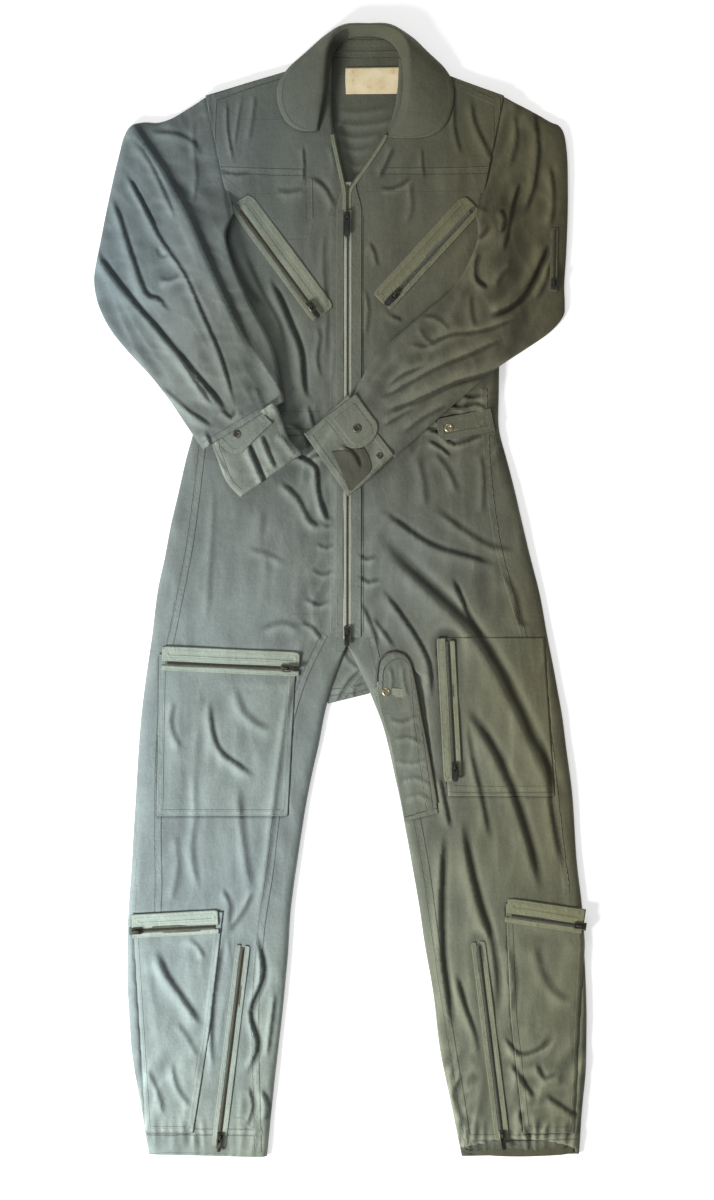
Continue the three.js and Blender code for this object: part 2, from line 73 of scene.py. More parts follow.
# Everything is laid out in millimetres from the waist end of the front zip:
# x to the wearer's left, y to the collar, z up.
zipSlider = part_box("main_lower_slider")
midX = (zipSlider[0].x + zipSlider[1].x) / 2
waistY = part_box("torso_back")[0].y - 0.3 * mm


def place(points):
    return np.asarray(points, float) * mm + np.array([midX, waistY, 0.0])


def laidOut(points):
    return (np.asarray(points, float) - np.array([midX, waistY, 0.0])) / mm


camera = bpy.data.objects.new("camera", bpy.data.cameras.new("camera"))
bpy.context.scene.collection.objects.link(camera)
camera.data.lens = 77.15
camera.location = (midX + 0.014, waistY - 0.238, 3.6)
bpy.context.scene.camera = camera
print("camera set")


# Lines
def smoothRun(points, count):
    points = np.asarray(points, float)
    wide = np.vstack([2 * points[0] - points[1], points, 2 * points[-1] - points[-2]])
    spots = np.linspace(0, len(points) - 1, count)
    index = np.minimum(spots.astype(int), len(points) - 2)
    t = (spots - index)[:, None]
    a, b, c, d = (wide[index + k] for k in range(4))
    return 0.5 * (2 * b + (c - a) * t + (2 * a - 5 * b + 4 * c - d) * t**2 + (3 * b - a - 3 * c + d) * t**3)


def lengthOf(line):
    return np.linalg.norm(np.diff(line, axis=0), axis=1).sum()


def runOf(line):
    return np.concatenate([[0], np.cumsum(np.linalg.norm(np.diff(line, axis=0), axis=1))])


def waysOf(line):
    way = np.gradient(line, axis=0)
    return way / np.maximum(np.linalg.norm(way, axis=1), 1e-9)[:, None]


def leftOf(ways):
    return np.stack([-ways[:, 1], ways[:, 0]], axis=1)


def spread(line, count):
    run = runOf(line)
    spots = np.linspace(0, run[-1], count)
    return np.stack([np.interp(spots, run, line[:, k]) for k in range(line.shape[1])], axis=1)


def evenRun(points, step):
    rough = smoothRun(points, len(points) * 24)
    return spread(rough, max(3, int(lengthOf(rough) / step) + 1))


def smoothStep(t):
    t = np.clip(t, 0, 1)
    return t * t * (3 - 2 * t)


# How far each spot is from a line, below zero on its right, and how far along the line the nearest point is
def nearTo(line, x, y):
    flatX, flatY = np.ravel(x), np.ravel(y)
    best = np.empty(flatX.size, int)
    batch = 20000
    for start in range(0, flatX.size, batch):
        part = slice(start, start + batch)
        gap = (flatX[part, None] - line[None, :, 0]) ** 2 + (flatY[part, None] - line[None, :, 1]) ** 2
        best[part] = gap.argmin(1)
    way = waysOf(line)
    dx, dy = flatX - line[best, 0], flatY - line[best, 1]
    side = way[best, 0] * dy - way[best, 1] * dx
    distance = np.hypot(dx, dy) * np.where(side < 0, -1, 1)
    return distance.reshape(np.shape(x)), (best / (len(line) - 1)).reshape(np.shape(x))


# Height maps: how high the cloth lies, with its folds
mapStep = 2.0
mapX = np.arange(-384, 385, mapStep)
mapY = np.arange(-1060, 621, mapStep)
gridX, gridY = np.meshgrid(mapX, mapY)
waveY = np.fft.fftfreq(gridX.shape[0], mapStep)[:, None] * 2 * math.pi
waveX = np.fft.fftfreq(gridX.shape[1], mapStep)[None, :] * 2 * math.pi


def rumple(seed, along, across, angle=90):
    noise = np.random.default_rng(seed).standard_normal(gridX.shape)
    turn = math.radians(angle)
    waveA = waveX * math.cos(turn) + waveY * math.sin(turn)
    waveB = -waveX * math.sin(turn) + waveY * math.cos(turn)
    soft = np.fft.ifft2(np.fft.fft2(noise) * np.exp(-((waveA * along) ** 2 + (waveB * across) ** 2) / 2)).real
    return soft / soft.std()


def softened(height, reach):
    return np.fft.ifft2(np.fft.fft2(height) * np.exp(-((waveX * reach) ** 2 + (waveY * reach) ** 2) / 2)).real


# Where the cloth stands above its surroundings it is painted paler, as wear; where it sinks below them it is painted
# darker, as painted crease shade
def crestOf(height):
    return (height - softened(height, 9)) / 1.5


def within(x0, x1, y0, y1, soft=30):
    inX = smoothStep((gridX - x0) / soft + 0.5) * smoothStep((x1 - gridX) / soft + 0.5)
    return inX * smoothStep((gridY - y0) / soft + 0.5) * smoothStep((y1 - gridY) / soft + 0.5)


# One fold: how high it stands, how gently it falls to the right and the left of its run,
# its groove's depth and width, and its run.
def addFold(height, rise, right, left, groove, wide, points, taper=0.22):
    line = evenRun(points, 3)
    reach = 2.6 * max(right, left, wide) + 6
    low, high = line.min(0) - reach, line.max(0) + reach
    cols = slice(np.searchsorted(mapX, low[0]), np.searchsorted(mapX, high[0]))
    rows = slice(np.searchsorted(mapY, low[1]), np.searchsorted(mapY, high[1]))
    d, t = nearTo(line, gridX[rows, cols], gridY[rows, cols])
    ends = smoothStep(np.minimum(t, 1 - t) / taper + 0.04)
    fall = np.where(d < 0, right, left)
    height[rows, cols] += rise * ends * np.exp(-((d / fall) ** 2))
    height[rows, cols] -= groove * ends * np.exp(-(((d - 0.55 * left) / wide) ** 2))


def addFolds(height, folds, high=1.0, deep=1.0, broad=1.0):
    for rise, right, left, groove, wide, points, *taper in folds:
        addFold(height, high * rise, right, left, deep * groove, broad * wide, points, *taper)


def lookUp(height, x, y):
    u = np.clip((np.asarray(x) - mapX[0]) / mapStep, 0, len(mapX) - 1.001)
    v = np.clip((np.asarray(y) - mapY[0]) / mapStep, 0, len(mapY) - 1.001)
    i, j = u.astype(int), v.astype(int)
    fu, fv = u - i, v - j
    top = height[j, i] * (1 - fu) + height[j, i + 1] * fu
    return top * (1 - fv) + (height[j + 1, i] * (1 - fu) + height[j + 1, i + 1] * fu) * fv


def insidePolygon(loop):
    inside = np.zeros(gridX.shape, bool)
    for a, b in zip(loop, np.roll(loop, -1, 0)):
        if abs(a[1] - b[1]) < 1e-9:
            continue
        crosses = (a[1] > gridY) != (b[1] > gridY)
        inside ^= crosses & (gridX < (b[0] - a[0]) * (gridY - a[1]) / (b[1] - a[1]) + a[0])
    return inside.astype(float)


# Outlines taken from the frame
def loopOf(node):
    mesh = frame["nodes"][node].data
    points = laidOut([v.co for v in mesh.vertices])
    keys = [tuple(np.round(p, 1)) for p in points]
    edges = {}
    for face in mesh.polygons:
        if face.normal.z < 0.55:
            continue
        ring = [keys[i] for i in face.vertices]
        for a, b in zip(ring, ring[1:] + ring[:1]):
            if (b, a) in edges:
                del edges[(b, a)]
            else:
                edges[(a, b)] = True
    after = {a: b for a, b in edges}
    found = []
    while after:
        spot = next(iter(after))
        loop = []
        while spot in after:
            loop.append(spot)
            spot = after.pop(spot)
        found.append(np.array(loop)[:, :2])
    return max(found, key=len)


def between(loop, start, end):
    a = np.hypot(*(loop - np.array(start)).T).argmin()
    b = np.hypot(*(loop - np.array(end)).T).argmin()
    forward = [loop[k % len(loop)] for k in range(a, b + 1 if b >= a else b + 1 + len(loop))]
    back = [loop[k % len(loop)] for k in range(a, b - 1 if b <= a else b - 1 - len(loop), -1)]
    return np.array(forward if len(forward) <= len(back) else back)


# The lowest and highest x of some nodes' outlines at each y, from the collar down
def spans(nodes, ys):
    low, high = np.full(len(ys), np.inf), np.full(len(ys), -np.inf)
    for node in nodes:
        loop = loopOf(node)
        for a, b in zip(loop, np.roll(loop, -1, 0)):
            if abs(a[1] - b[1]) < 1e-6:
                continue
            t = (ys - a[1]) / (b[1] - a[1])
            hit = (t >= 0) & (t <= 1)
            x = a[0] + (b[0] - a[0]) * t
            low = np.where(hit, np.minimum(low, x), low)
            high = np.where(hit, np.maximum(high, x), high)
    good = np.isfinite(low)
    return tuple(np.interp(ys[::-1], ys[good][::-1], x[good][::-1])[::-1] for x in (low, high))


def eased(values, reach):
    kernel = np.exp(-((np.arange(-3 * reach, 3 * reach + 1) / reach) ** 2))
    kernel /= kernel.sum()
    return np.convolve(np.pad(values, 3 * reach, mode="reflect", reflect_type="odd"), kernel, mode="valid")


# Meshes from rings of points
def meshFrom(name, rings, attributes, paint):
    rows, count = rings.shape[:2]
    points = place(rings.reshape(-1, 3))
    here = np.arange(count)
    onward = (here + 1) % count
    band = np.stack([here, onward, onward + count, here + count], axis=1)
    quads = np.concatenate([band + row * count for row in range(rows - 1)])
    a, b, c, d = (points[quads[:, k]] for k in range(4))
    volume = (np.cross(b - a, c - a) * a).sum() + (np.cross(c - a, d - a) * a).sum()
    faces = [*quads.tolist(), list(range(count))[::-1], list(range((rows - 1) * count, rows * count))]
    if volume < 0:
        faces = [face[::-1] for face in faces]
    mesh = bpy.data.meshes.new(name)
    mesh.from_pydata(points.tolist(), [], faces)
    mesh.polygons.foreach_set("use_smooth", np.ones(len(mesh.polygons), bool))
    for key, values in attributes.items():
        layer = mesh.attributes.new(key, "FLOAT", "POINT")
        layer.data.foreach_set("value", np.asarray(values, np.float32).ravel())
    mesh.update()
    piece = bpy.data.objects.new(name, mesh)
    bpy.context.scene.collection.objects.link(piece)
    mesh.materials.append(paint)
    return piece


edgeSteps = np.array([0, 0.35, 1.0, 2.1, 3.7, 5.8, 8.4])  # in from an edge, closest where the cloth rolls over
evenFrom = 11.6  # where the even columns begin
drawnInBelow = 34  # strips narrower than this have their steps drawn in


def acrossOf(widths, columns):
    widths = np.asarray(widths)[:, None]
    squeeze = np.minimum(1, widths / drawnInBelow)
    rim = edgeSteps[None, :] * squeeze
    start, end = evenFrom * squeeze, widths - evenFrom * squeeze
    body = start + (end - start) * np.linspace(0, 1, columns)[None, :]
    return np.concatenate([rim, body, widths - rim[:, ::-1]], axis=1)


def rollOver(distance, reach):
    t = np.clip(distance / np.maximum(reach, 1e-6), 0, 1)
    return np.sqrt(1 - (1 - t) ** 2)


def field(value):
    return value if callable(value) else (lambda x, y: np.full(np.shape(x), value))


def mix(a, b, share):
    return a[:, None, :] * (1 - share[..., None]) + b[:, None, :] * share[..., None]


# A flattened tube of cloth between two edge lines. Top and floor are heights, or maps of them.
# A mouth goes in at the far end by its depth, a little inside the cloth, and closes.
def clothTube(
    name, edgeA, edgeB, top, floor, rolls, paint, step=2.3, lip=0.3, mouth=0, inset=1.3, crestAndShade=None, seams=None
):
    top, floor = field(top), field(floor)
    widths = np.linalg.norm(edgeB - edgeA, axis=1)
    across = acrossOf(widths, max(6, int(widths.max() / step)))
    xy = mix(edgeA, edgeB, across / widths[:, None])
    x, y = xy[..., 0], xy[..., 1]
    edge = floor(x, y) + lip
    rolls = rolls if isinstance(rolls, tuple) else (rolls, rolls)
    rollA, rollB = (np.broadcast_to(np.asarray(roll, float), widths.shape)[:, None] for roll in rolls)
    lift = rollOver(across, rollA) * rollOver(widths[:, None] - across, rollB)
    z = edge + (top(x, y) - edge) * lift
    under = mix(edgeA, edgeB, np.linspace(0.985, 0.015, 9)[None, :])
    underZ = floor(under[..., 0], under[..., 1])
    rings = np.concatenate([np.dstack([x, y, z]), np.dstack([under, underZ])], axis=1)
    run = runOf((edgeA + edgeB) / 2)
    if mouth:
        turned = []
        for ring in (rings[-1], rings[-1 - int(mouth / (run[-1] / len(run)))]):
            centre = (ring.max(0) + ring.min(0)) / 2
            size = (ring.max(0) - ring.min(0)) / 2
            keep = 1 - inset / np.maximum(size, inset * 1.4)
            keep[:2] = 1 - inset / max(size[:2].max(), 1)
            turned.append(centre + (ring - centre) * keep)
        rings = np.concatenate([rings, np.stack(turned)])
    spotX, spotY = rings[..., 0], rings[..., 1]
    distance, along = seamField(spotX, spotY, seams) if seams else edgeField(rings, widths, across, run)
    # The crests' wear and the painted crease shade, read from the relief map
    wearAndShade = np.zeros(spotX.shape) if crestAndShade is None else lookUp(crestAndShade, spotX, spotY)
    piece = meshFrom(name, rings, {"crestAndShade": wearAndShade, "seamDistance": distance, "seamRun": along}, paint)
    piece["clothArea"] = float(((widths[1:] + widths[:-1]) / 2 * np.diff(run)).sum() * mm * mm)
    piece["clothLong"] = float(run[-1] * mm)
    piece["clothWide"] = float(widths.max() * mm)
    return piece


# Stitches follow a patch's own edges, or the seams that a piece is given
def edgeField(rings, widths, across, run):
    distance, along = np.full(rings.shape[:2], 40.0), np.zeros(rings.shape[:2])
    topSide = np.s_[: len(run), : across.shape[1]]
    inner = np.minimum(across, widths[:, None] - across)
    ends = np.minimum(run, run[-1] - run)[:, None]
    distance[topSide] = np.minimum(inner, ends)
    along[topSide] = np.where(inner < ends, run[:, None], across)
    return distance, along


def seamField(x, y, seams):
    best = np.full(x.shape, 60.0)
    along = np.zeros(x.shape)
    for seam in seams:
        line = evenRun(seam, 3)
        low, high = line.min(0) - 25, line.max(0) + 25
        close = (x > low[0]) & (x < high[0]) & (y > low[1]) & (y < high[1])
        if not close.any():
            continue
        d, t = nearTo(line, x[close], y[close])
        nearest = line[(t * (len(line) - 1)).round().astype(int)]
        gap = np.hypot(*(np.stack([x[close], y[close]]) - nearest.T))
        d = np.where((t < 0.001) | (t > 0.999), np.maximum(gap, 14) * np.sign(d + 1e-9), d)
        nearer = np.abs(d - 4) < np.abs(best[close] - 4)
        best[close] = np.where(nearer, d, best[close])
        along[close] = np.where(nearer, t * lengthOf(line), along[close])
    return best, along


# What every piece of cloth is told: its body, and the nodes it stands for
def sewn(piece, body, replaced=()):
    if body:
        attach(piece, body)
    if replaced:
        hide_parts(*replaced)


# Materials
class Wire:
    def __init__(self, paint, socket):
        self.paint = paint
        self.socket = socket

    def sums(self, how, a, b):
        return self.paint.add("ShaderNodeMath", {"operation": how}, {0: a, 1: b})

    def __add__(self, other):
        return self.sums("ADD", self, other)

    def __sub__(self, other):
        return self.sums("SUBTRACT", self, other)

    def __rsub__(self, other):
        return self.sums("SUBTRACT", other, self)

    def __mul__(self, other):
        return self.sums("MULTIPLY", self, other)

    __radd__ = __add__
    __rmul__ = __mul__


class Paint:
    def __init__(self, name, roughness=0.85, **fixed):
        self.material = bpy.data.materials.new(name)
        self.material.use_nodes = True
        self.nodes = self.material.node_tree.nodes
        self.links = self.material.node_tree.links
        self.shader = self.nodes["Principled BSDF"]
        self.shader.inputs["Roughness"].default_value = roughness
        for key, value in fixed.items():
            self.shader.inputs[key.replace("_", " ")].default_value = value

    def add(self, kind, settings=None, sockets=None, out=0):
        node = self.nodes.new(kind)
        for key, value in (settings or {}).items():
            setattr(node, key, value)
        for key, value in (sockets or {}).items():
            if isinstance(value, Wire):
                self.links.new(value.socket, node.inputs[key])
            else:
                node.inputs[key].default_value = value
        return Wire(self, node.outputs[out])

    def feed(self, name, wire):
        self.links.new(wire.socket, self.shader.inputs[name])

    def spot(self):
        return self.add("ShaderNodeTexCoord", out="Object")

    def axis(self, wire, letter):
        return self.add("ShaderNodeSeparateXYZ", sockets={0: wire}, out=letter)

    def noise(self, at, scale, detail=3.0, rough=0.55):
        sockets = {"Vector": at, "Scale": scale, "Detail": detail, "Roughness": rough}
        return self.add("ShaderNodeTexNoise", sockets=sockets)

    def ramp(self, wire, low, high, a=0.0, b=1.0):
        sockets = {"Value": wire, "From Min": low, "From Max": high, "To Min": a, "To Max": b}
        return self.add("ShaderNodeMapRange", {"interpolation_type": "SMOOTHSTEP"}, sockets)

    def blend(self, share, a, b, how="MIX"):
        a, b = ((*c, 1) if isinstance(c, tuple) else c for c in (a, b))
        return self.add("ShaderNodeMix", {"data_type": "RGBA", "blend_type": how}, {0: share, 6: a, 7: b}, out=2)

    def stretch(self, at, scale):
        return self.add("ShaderNodeMapping", sockets={"Vector": at, "Scale": scale})

    def attribute(self, name):
        return self.add("ShaderNodeAttribute", {"attribute_name": name}, out="Fac")

    def size(self, wire):
        return self.add("ShaderNodeMath", {"operation": "ABSOLUTE"}, {0: wire})

    def stitches(self, wire, gap):
        return self.add("ShaderNodeMath", {"operation": "PINGPONG"}, {0: wire, 1: gap})

    def relief(self, height, far=1.0, strength=1.0):
        sockets = {"Height": height, "Distance": far, "Strength": strength}
        self.feed("Normal", self.add("ShaderNodeBump", sockets=sockets))


twill = {
    "ribGap": 0.00085,  # between the twill's diagonal ribs
    "ribDepth": 0.00006,
    # litCoolSide and shadedWarmSide end a gradient that is partly dye and partly painted light and shade
    "litCoolSide": (0.2, 0.246, 0.246),
    "shadedWarmSide": (0.096, 0.088, 0.046),
    # legTintAndShade warms and darkens the wearer's left leg, partly its hue and partly painted shade
    "legTintAndShade": (1.0, 0.93, 0.72),
    # legPaintedLight is a painted highlight on the lower legs
    "legPaintedLight": (1.16, 1.16, 1.15),
    "shoulderTint": (0.97, 1.05, 1.18),
    "thread": (0.2, 0.21, 0.16),
}


def cottonCloth(name, tone=(1.0, 1.0, 1.0), rows=(1.4, 7.6), seamRise=0.0006):
    paint = Paint(name, roughness=0.86, Sheen_Weight=0.12, Sheen_Roughness=0.5, Specular_IOR_Level=0.25)
    at = paint.spot()
    x, y = paint.axis(at, "X"), paint.axis(at, "Y")
    up = y - waistY
    wide = paint.noise(at, 3.5, 3.0) - 0.5
    middling = paint.noise(at, 22.0, 4.0)
    fine = paint.noise(at, 240.0, 3.0)
    slub = paint.noise(paint.stretch(at, (60.0, 900.0, 60.0)), 1.0, 2.0)

    # The cloth's gradient, partly the dye's own drift and partly painted light and shade: paler and cooler on the
    # wearer's right leg, darker and warmer towards the wearer's left and higher up
    litCool, shadedWarm = (tuple(a * b for a, b in zip(twill[key], tone)) for key in ("litCoolSide", "shadedWarmSide"))
    cloth = paint.blend(paint.ramp(x + up * 0.42 + wide * 0.25, -0.6, 0.45), litCool, shadedWarm)
    tints = (
        # Partly painted shade: the wearer's left leg warmer and darker
        ("legTintAndShade", paint.ramp(x - up * 0.6 + wide * 0.2, 0.2, 0.62)),
        ("shoulderTint", paint.ramp(up - x * 0.5, 0.12, 0.5)),
        # Painted light: the lower legs made paler, most of all the wearer's right leg
        ("legPaintedLight", paint.ramp(up, 0.0, -0.3) * paint.ramp(x, 0.12, -0.06)),
    )
    for key, share in tints:
        cloth = paint.blend(share, cloth, twill[key], "MULTIPLY")

    mottle = paint.ramp(middling * 0.55 + fine * 0.25 + slub * 0.2, 0.3, 0.7, 0.84, 1.14)
    crestAndShade = paint.attribute("crestAndShade")
    # Painted crease shade and wear: darker in the hollows, paler on the crests
    creaseShadeAndWear = paint.ramp(crestAndShade, -1.5, 1.5, 0.5, 1.36)
    distance = paint.attribute("seamDistance")
    lines = [paint.ramp(paint.size(distance - row), 0.5, 0.25) for row in rows]
    thread = (lines[0] + lines[1]) * paint.ramp(paint.stitches(paint.attribute("seamRun"), 1.6), 0.35, 0.75)
    fold = paint.ramp(paint.size(distance), 1.0, 0.2)
    rim = paint.ramp(distance, -0.5, 0.9) * paint.ramp(distance, 9.6, 8.6)
    shade = mottle * creaseShadeAndWear * (1.0 - fold * 0.34) * (1.0 + rim * 0.07)
    grey = paint.add("ShaderNodeCombineColor", sockets={0: shade, 1: shade, 2: shade})
    cloth = paint.blend(1.0, cloth, grey, "MULTIPLY")
    cloth = paint.blend(thread * 0.5, cloth, tuple(c * t for c, t in zip(twill["thread"], tone)))
    paint.feed("Base Color", cloth)
    paint.feed("Roughness", paint.ramp(crestAndShade + (fine - 0.5), -1.5, 1.5, 0.92, 0.78))

    diagonal = (x + y) * (math.pi / twill["ribGap"])
    rib = paint.add("ShaderNodeMath", {"operation": "SINE"}, {0: diagonal})
    crinkle = paint.noise(paint.stretch(at, (70.0, 34.0, 40.0)), 1.0, 5.0, 0.6)
    pucker = paint.noise(paint.stretch(at, (180.0, 180.0, 180.0)), 1.0, 2.0)
    height = rib * twill["ribDepth"] + fine * 0.00022 + slub * 0.00012 + crinkle * 0.0016
    height = height + rim * seamRise + thread * 0.0003 + rim * pucker * 0.0009 - fold * 0.0006
    paint.relief(height)
    return paint.material


patchRows = {"rows": (1.6, 6.4), "seamRise": 0.0003}
sage = cottonCloth("sageTwill")
sagePatch = cottonCloth("sagePatch", (1.02, 1.02, 1.0), **patchRows)
fadedPatch = cottonCloth("fadedPatch", (1.26, 1.25, 1.18), **patchRows)
paleTape = cottonCloth("paleTape", (1.55, 1.53, 1.36), (1.8, 5.6), 0.0002)
# A darker, browner cloth: painted shade for the hem's and the cuff's mouths and round the knife pocket
shadedInsideCloth = cottonCloth("shadedInsideCloth", (0.62, 0.55, 0.48), **patchRows)


def tapeWeave(name, dark, pale):
    paint = Paint(name, roughness=0.8, Sheen_Weight=0.1)
    at = paint.spot()
    grain = paint.noise(at, 700.0, 2.0)
    cloud = paint.noise(at, 30.0, 3.0)
    paint.feed("Base Color", paint.blend(paint.ramp(grain * 0.6 + cloud * 0.4, 0.35, 0.65), dark, pale))
    paint.relief(grain * 0.0002)
    return paint.material


def enamelledMetal(name, dark, bright, metallic=0.85, roughness=0.42, wearFrom=0.6):
    paint = Paint(name, roughness=roughness, Metallic=metallic)
    at = paint.spot()
    cloud = paint.noise(at, 160.0, 4.0)
    speck = paint.noise(at, 900.0, 3.0)
    edge = paint.ramp(paint.add("ShaderNodeNewGeometry", out="Pointiness"), 0.5, wearFrom)
    wearAndShade = paint.ramp(cloud * 0.7 + speck * 0.3 + edge * 0.45, 0.5, 0.82)
    paint.feed("Base Color", paint.blend(wearAndShade, dark, bright))
    paint.feed("Roughness", paint.ramp(speck, 0.3, 0.7, roughness - 0.1, roughness + 0.16))
    paint.relief(speck * 0.00008 + cloud * 0.0001)
    return paint.material


def leather():
    paint = Paint("blackLeather", roughness=0.55, Specular_IOR_Level=0.4)
    at = paint.spot()
    cells = paint.add("ShaderNodeTexVoronoi", {"feature": "DISTANCE_TO_EDGE"}, {"Vector": at, "Scale": 900.0})
    cloud = paint.noise(at, 120.0, 4.0)
    black, scuffed = (0.008, 0.009, 0.01), (0.034, 0.032, 0.028)
    paint.feed("Base Color", paint.blend(paint.ramp(cloud, 0.4, 0.75), black, scuffed))
    paint.feed("Roughness", paint.ramp(cloud, 0.3, 0.7, 0.48, 0.7))
    paint.relief(paint.ramp(cells, 0.0, 0.12) * 0.00012 + cloud * 0.0002)
    return paint.material


def labelCloth():
    paint = Paint("creamLabel", roughness=0.8, Sheen_Weight=0.1)
    at = paint.spot()
    cloud = paint.noise(at, 45.0, 4.0)
    stain = paint.noise(at, 90.0, 5.0, 0.7)
    weave = paint.noise(paint.stretch(at, (900.0, 2400.0, 900.0)), 1.0, 2.0)
    base = paint.blend(paint.ramp(cloud, 0.35, 0.7), (0.82, 0.71, 0.46), (0.72, 0.58, 0.34))
    base = paint.blend(paint.ramp(stain, 0.56, 0.72) * 0.4, base, (0.5, 0.34, 0.18))
    rim = paint.ramp(paint.attribute("seamDistance"), 2.6, 1.2)
    dash = paint.ramp(paint.stitches(paint.attribute("seamRun"), 1.5), 0.3, 0.8)
    paint.feed("Base Color", paint.blend(rim * dash * 0.55, base, (0.5, 0.44, 0.3)))
    paint.relief(weave * 0.0002 + cloud * 0.0006)
    return paint.material


zipTape = tapeWeave("zipTape", (0.06, 0.064, 0.048), (0.12, 0.125, 0.095))
mainTape = tapeWeave("mainTape", (0.27, 0.29, 0.23), (0.4, 0.41, 0.33))
darkMetal = enamelledMetal("darkZipMetal", (0.026, 0.028, 0.022), (0.1, 0.098, 0.07), 0.7)
darkSnap = enamelledMetal("darkSnap", (0.05, 0.052, 0.042), (0.2, 0.19, 0.14), 0.6, 0.45)
brightSnap = enamelledMetal("brightSnap", (0.34, 0.3, 0.19), (0.72, 0.64, 0.42), 0.9, 0.34, 0.7)
blackLeather = leather()
cream = labelCloth()
print("materials mixed")


# The front and the trousers: how high they lie, fold by fold
flatHeight = 11.4


def zipRun(node):
    points = laidOut([v.co for v in frame["nodes"][node].data.vertices])
    top = points[points[:, 2] > points[:, 2].max() - 0.05][:, :2]
    if node == "main_zip":
        top = top[np.abs(top[:, 0]) < 4]
    centre = top.mean(0)
    way = np.linalg.svd(top - centre)[2][0]
    reach = np.abs((top - centre) @ way).max()
    slider = "main_upper_slider" if node == "main_zip" else node.replace("_zip", "_slider")
    rest = sum(laidOut(corner)[:2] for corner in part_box(slider)) / 2
    if (rest - centre) @ way < 0:
        way = -way
    out = np.array([-way[1], way[0]])
    keep = np.abs((points[:, :2] - centre) @ way) < reach + 0.5
    side = ((points[:, :2] - centre) @ out)[keep]
    return {
        "start": centre - way * reach,
        "end": centre + way * reach,
        "way": way,
        "out": out,
        "long": float(np.hypot(*(2 * way * reach))),
        "from": side.min(),
        "to": side.max(),
        "low": points[:, 2].min(),
    }


zips = {node: zipRun(node) for node in frame["nodes"] if node.endswith("_zip")}


def nearZip(x, y):
    best = np.full(np.shape(x), 999.0)
    for node, z in zips.items():
        if node == "sleeve_pocket_zip":
            continue
        dx, dy = x - z["start"][0], y - z["start"][1]
        along = np.clip(dx * z["way"][0] + dy * z["way"][1], 0, z["long"])
        best = np.minimum(best, np.hypot(dx - along * z["way"][0], dy - along * z["way"][1]))
    return best


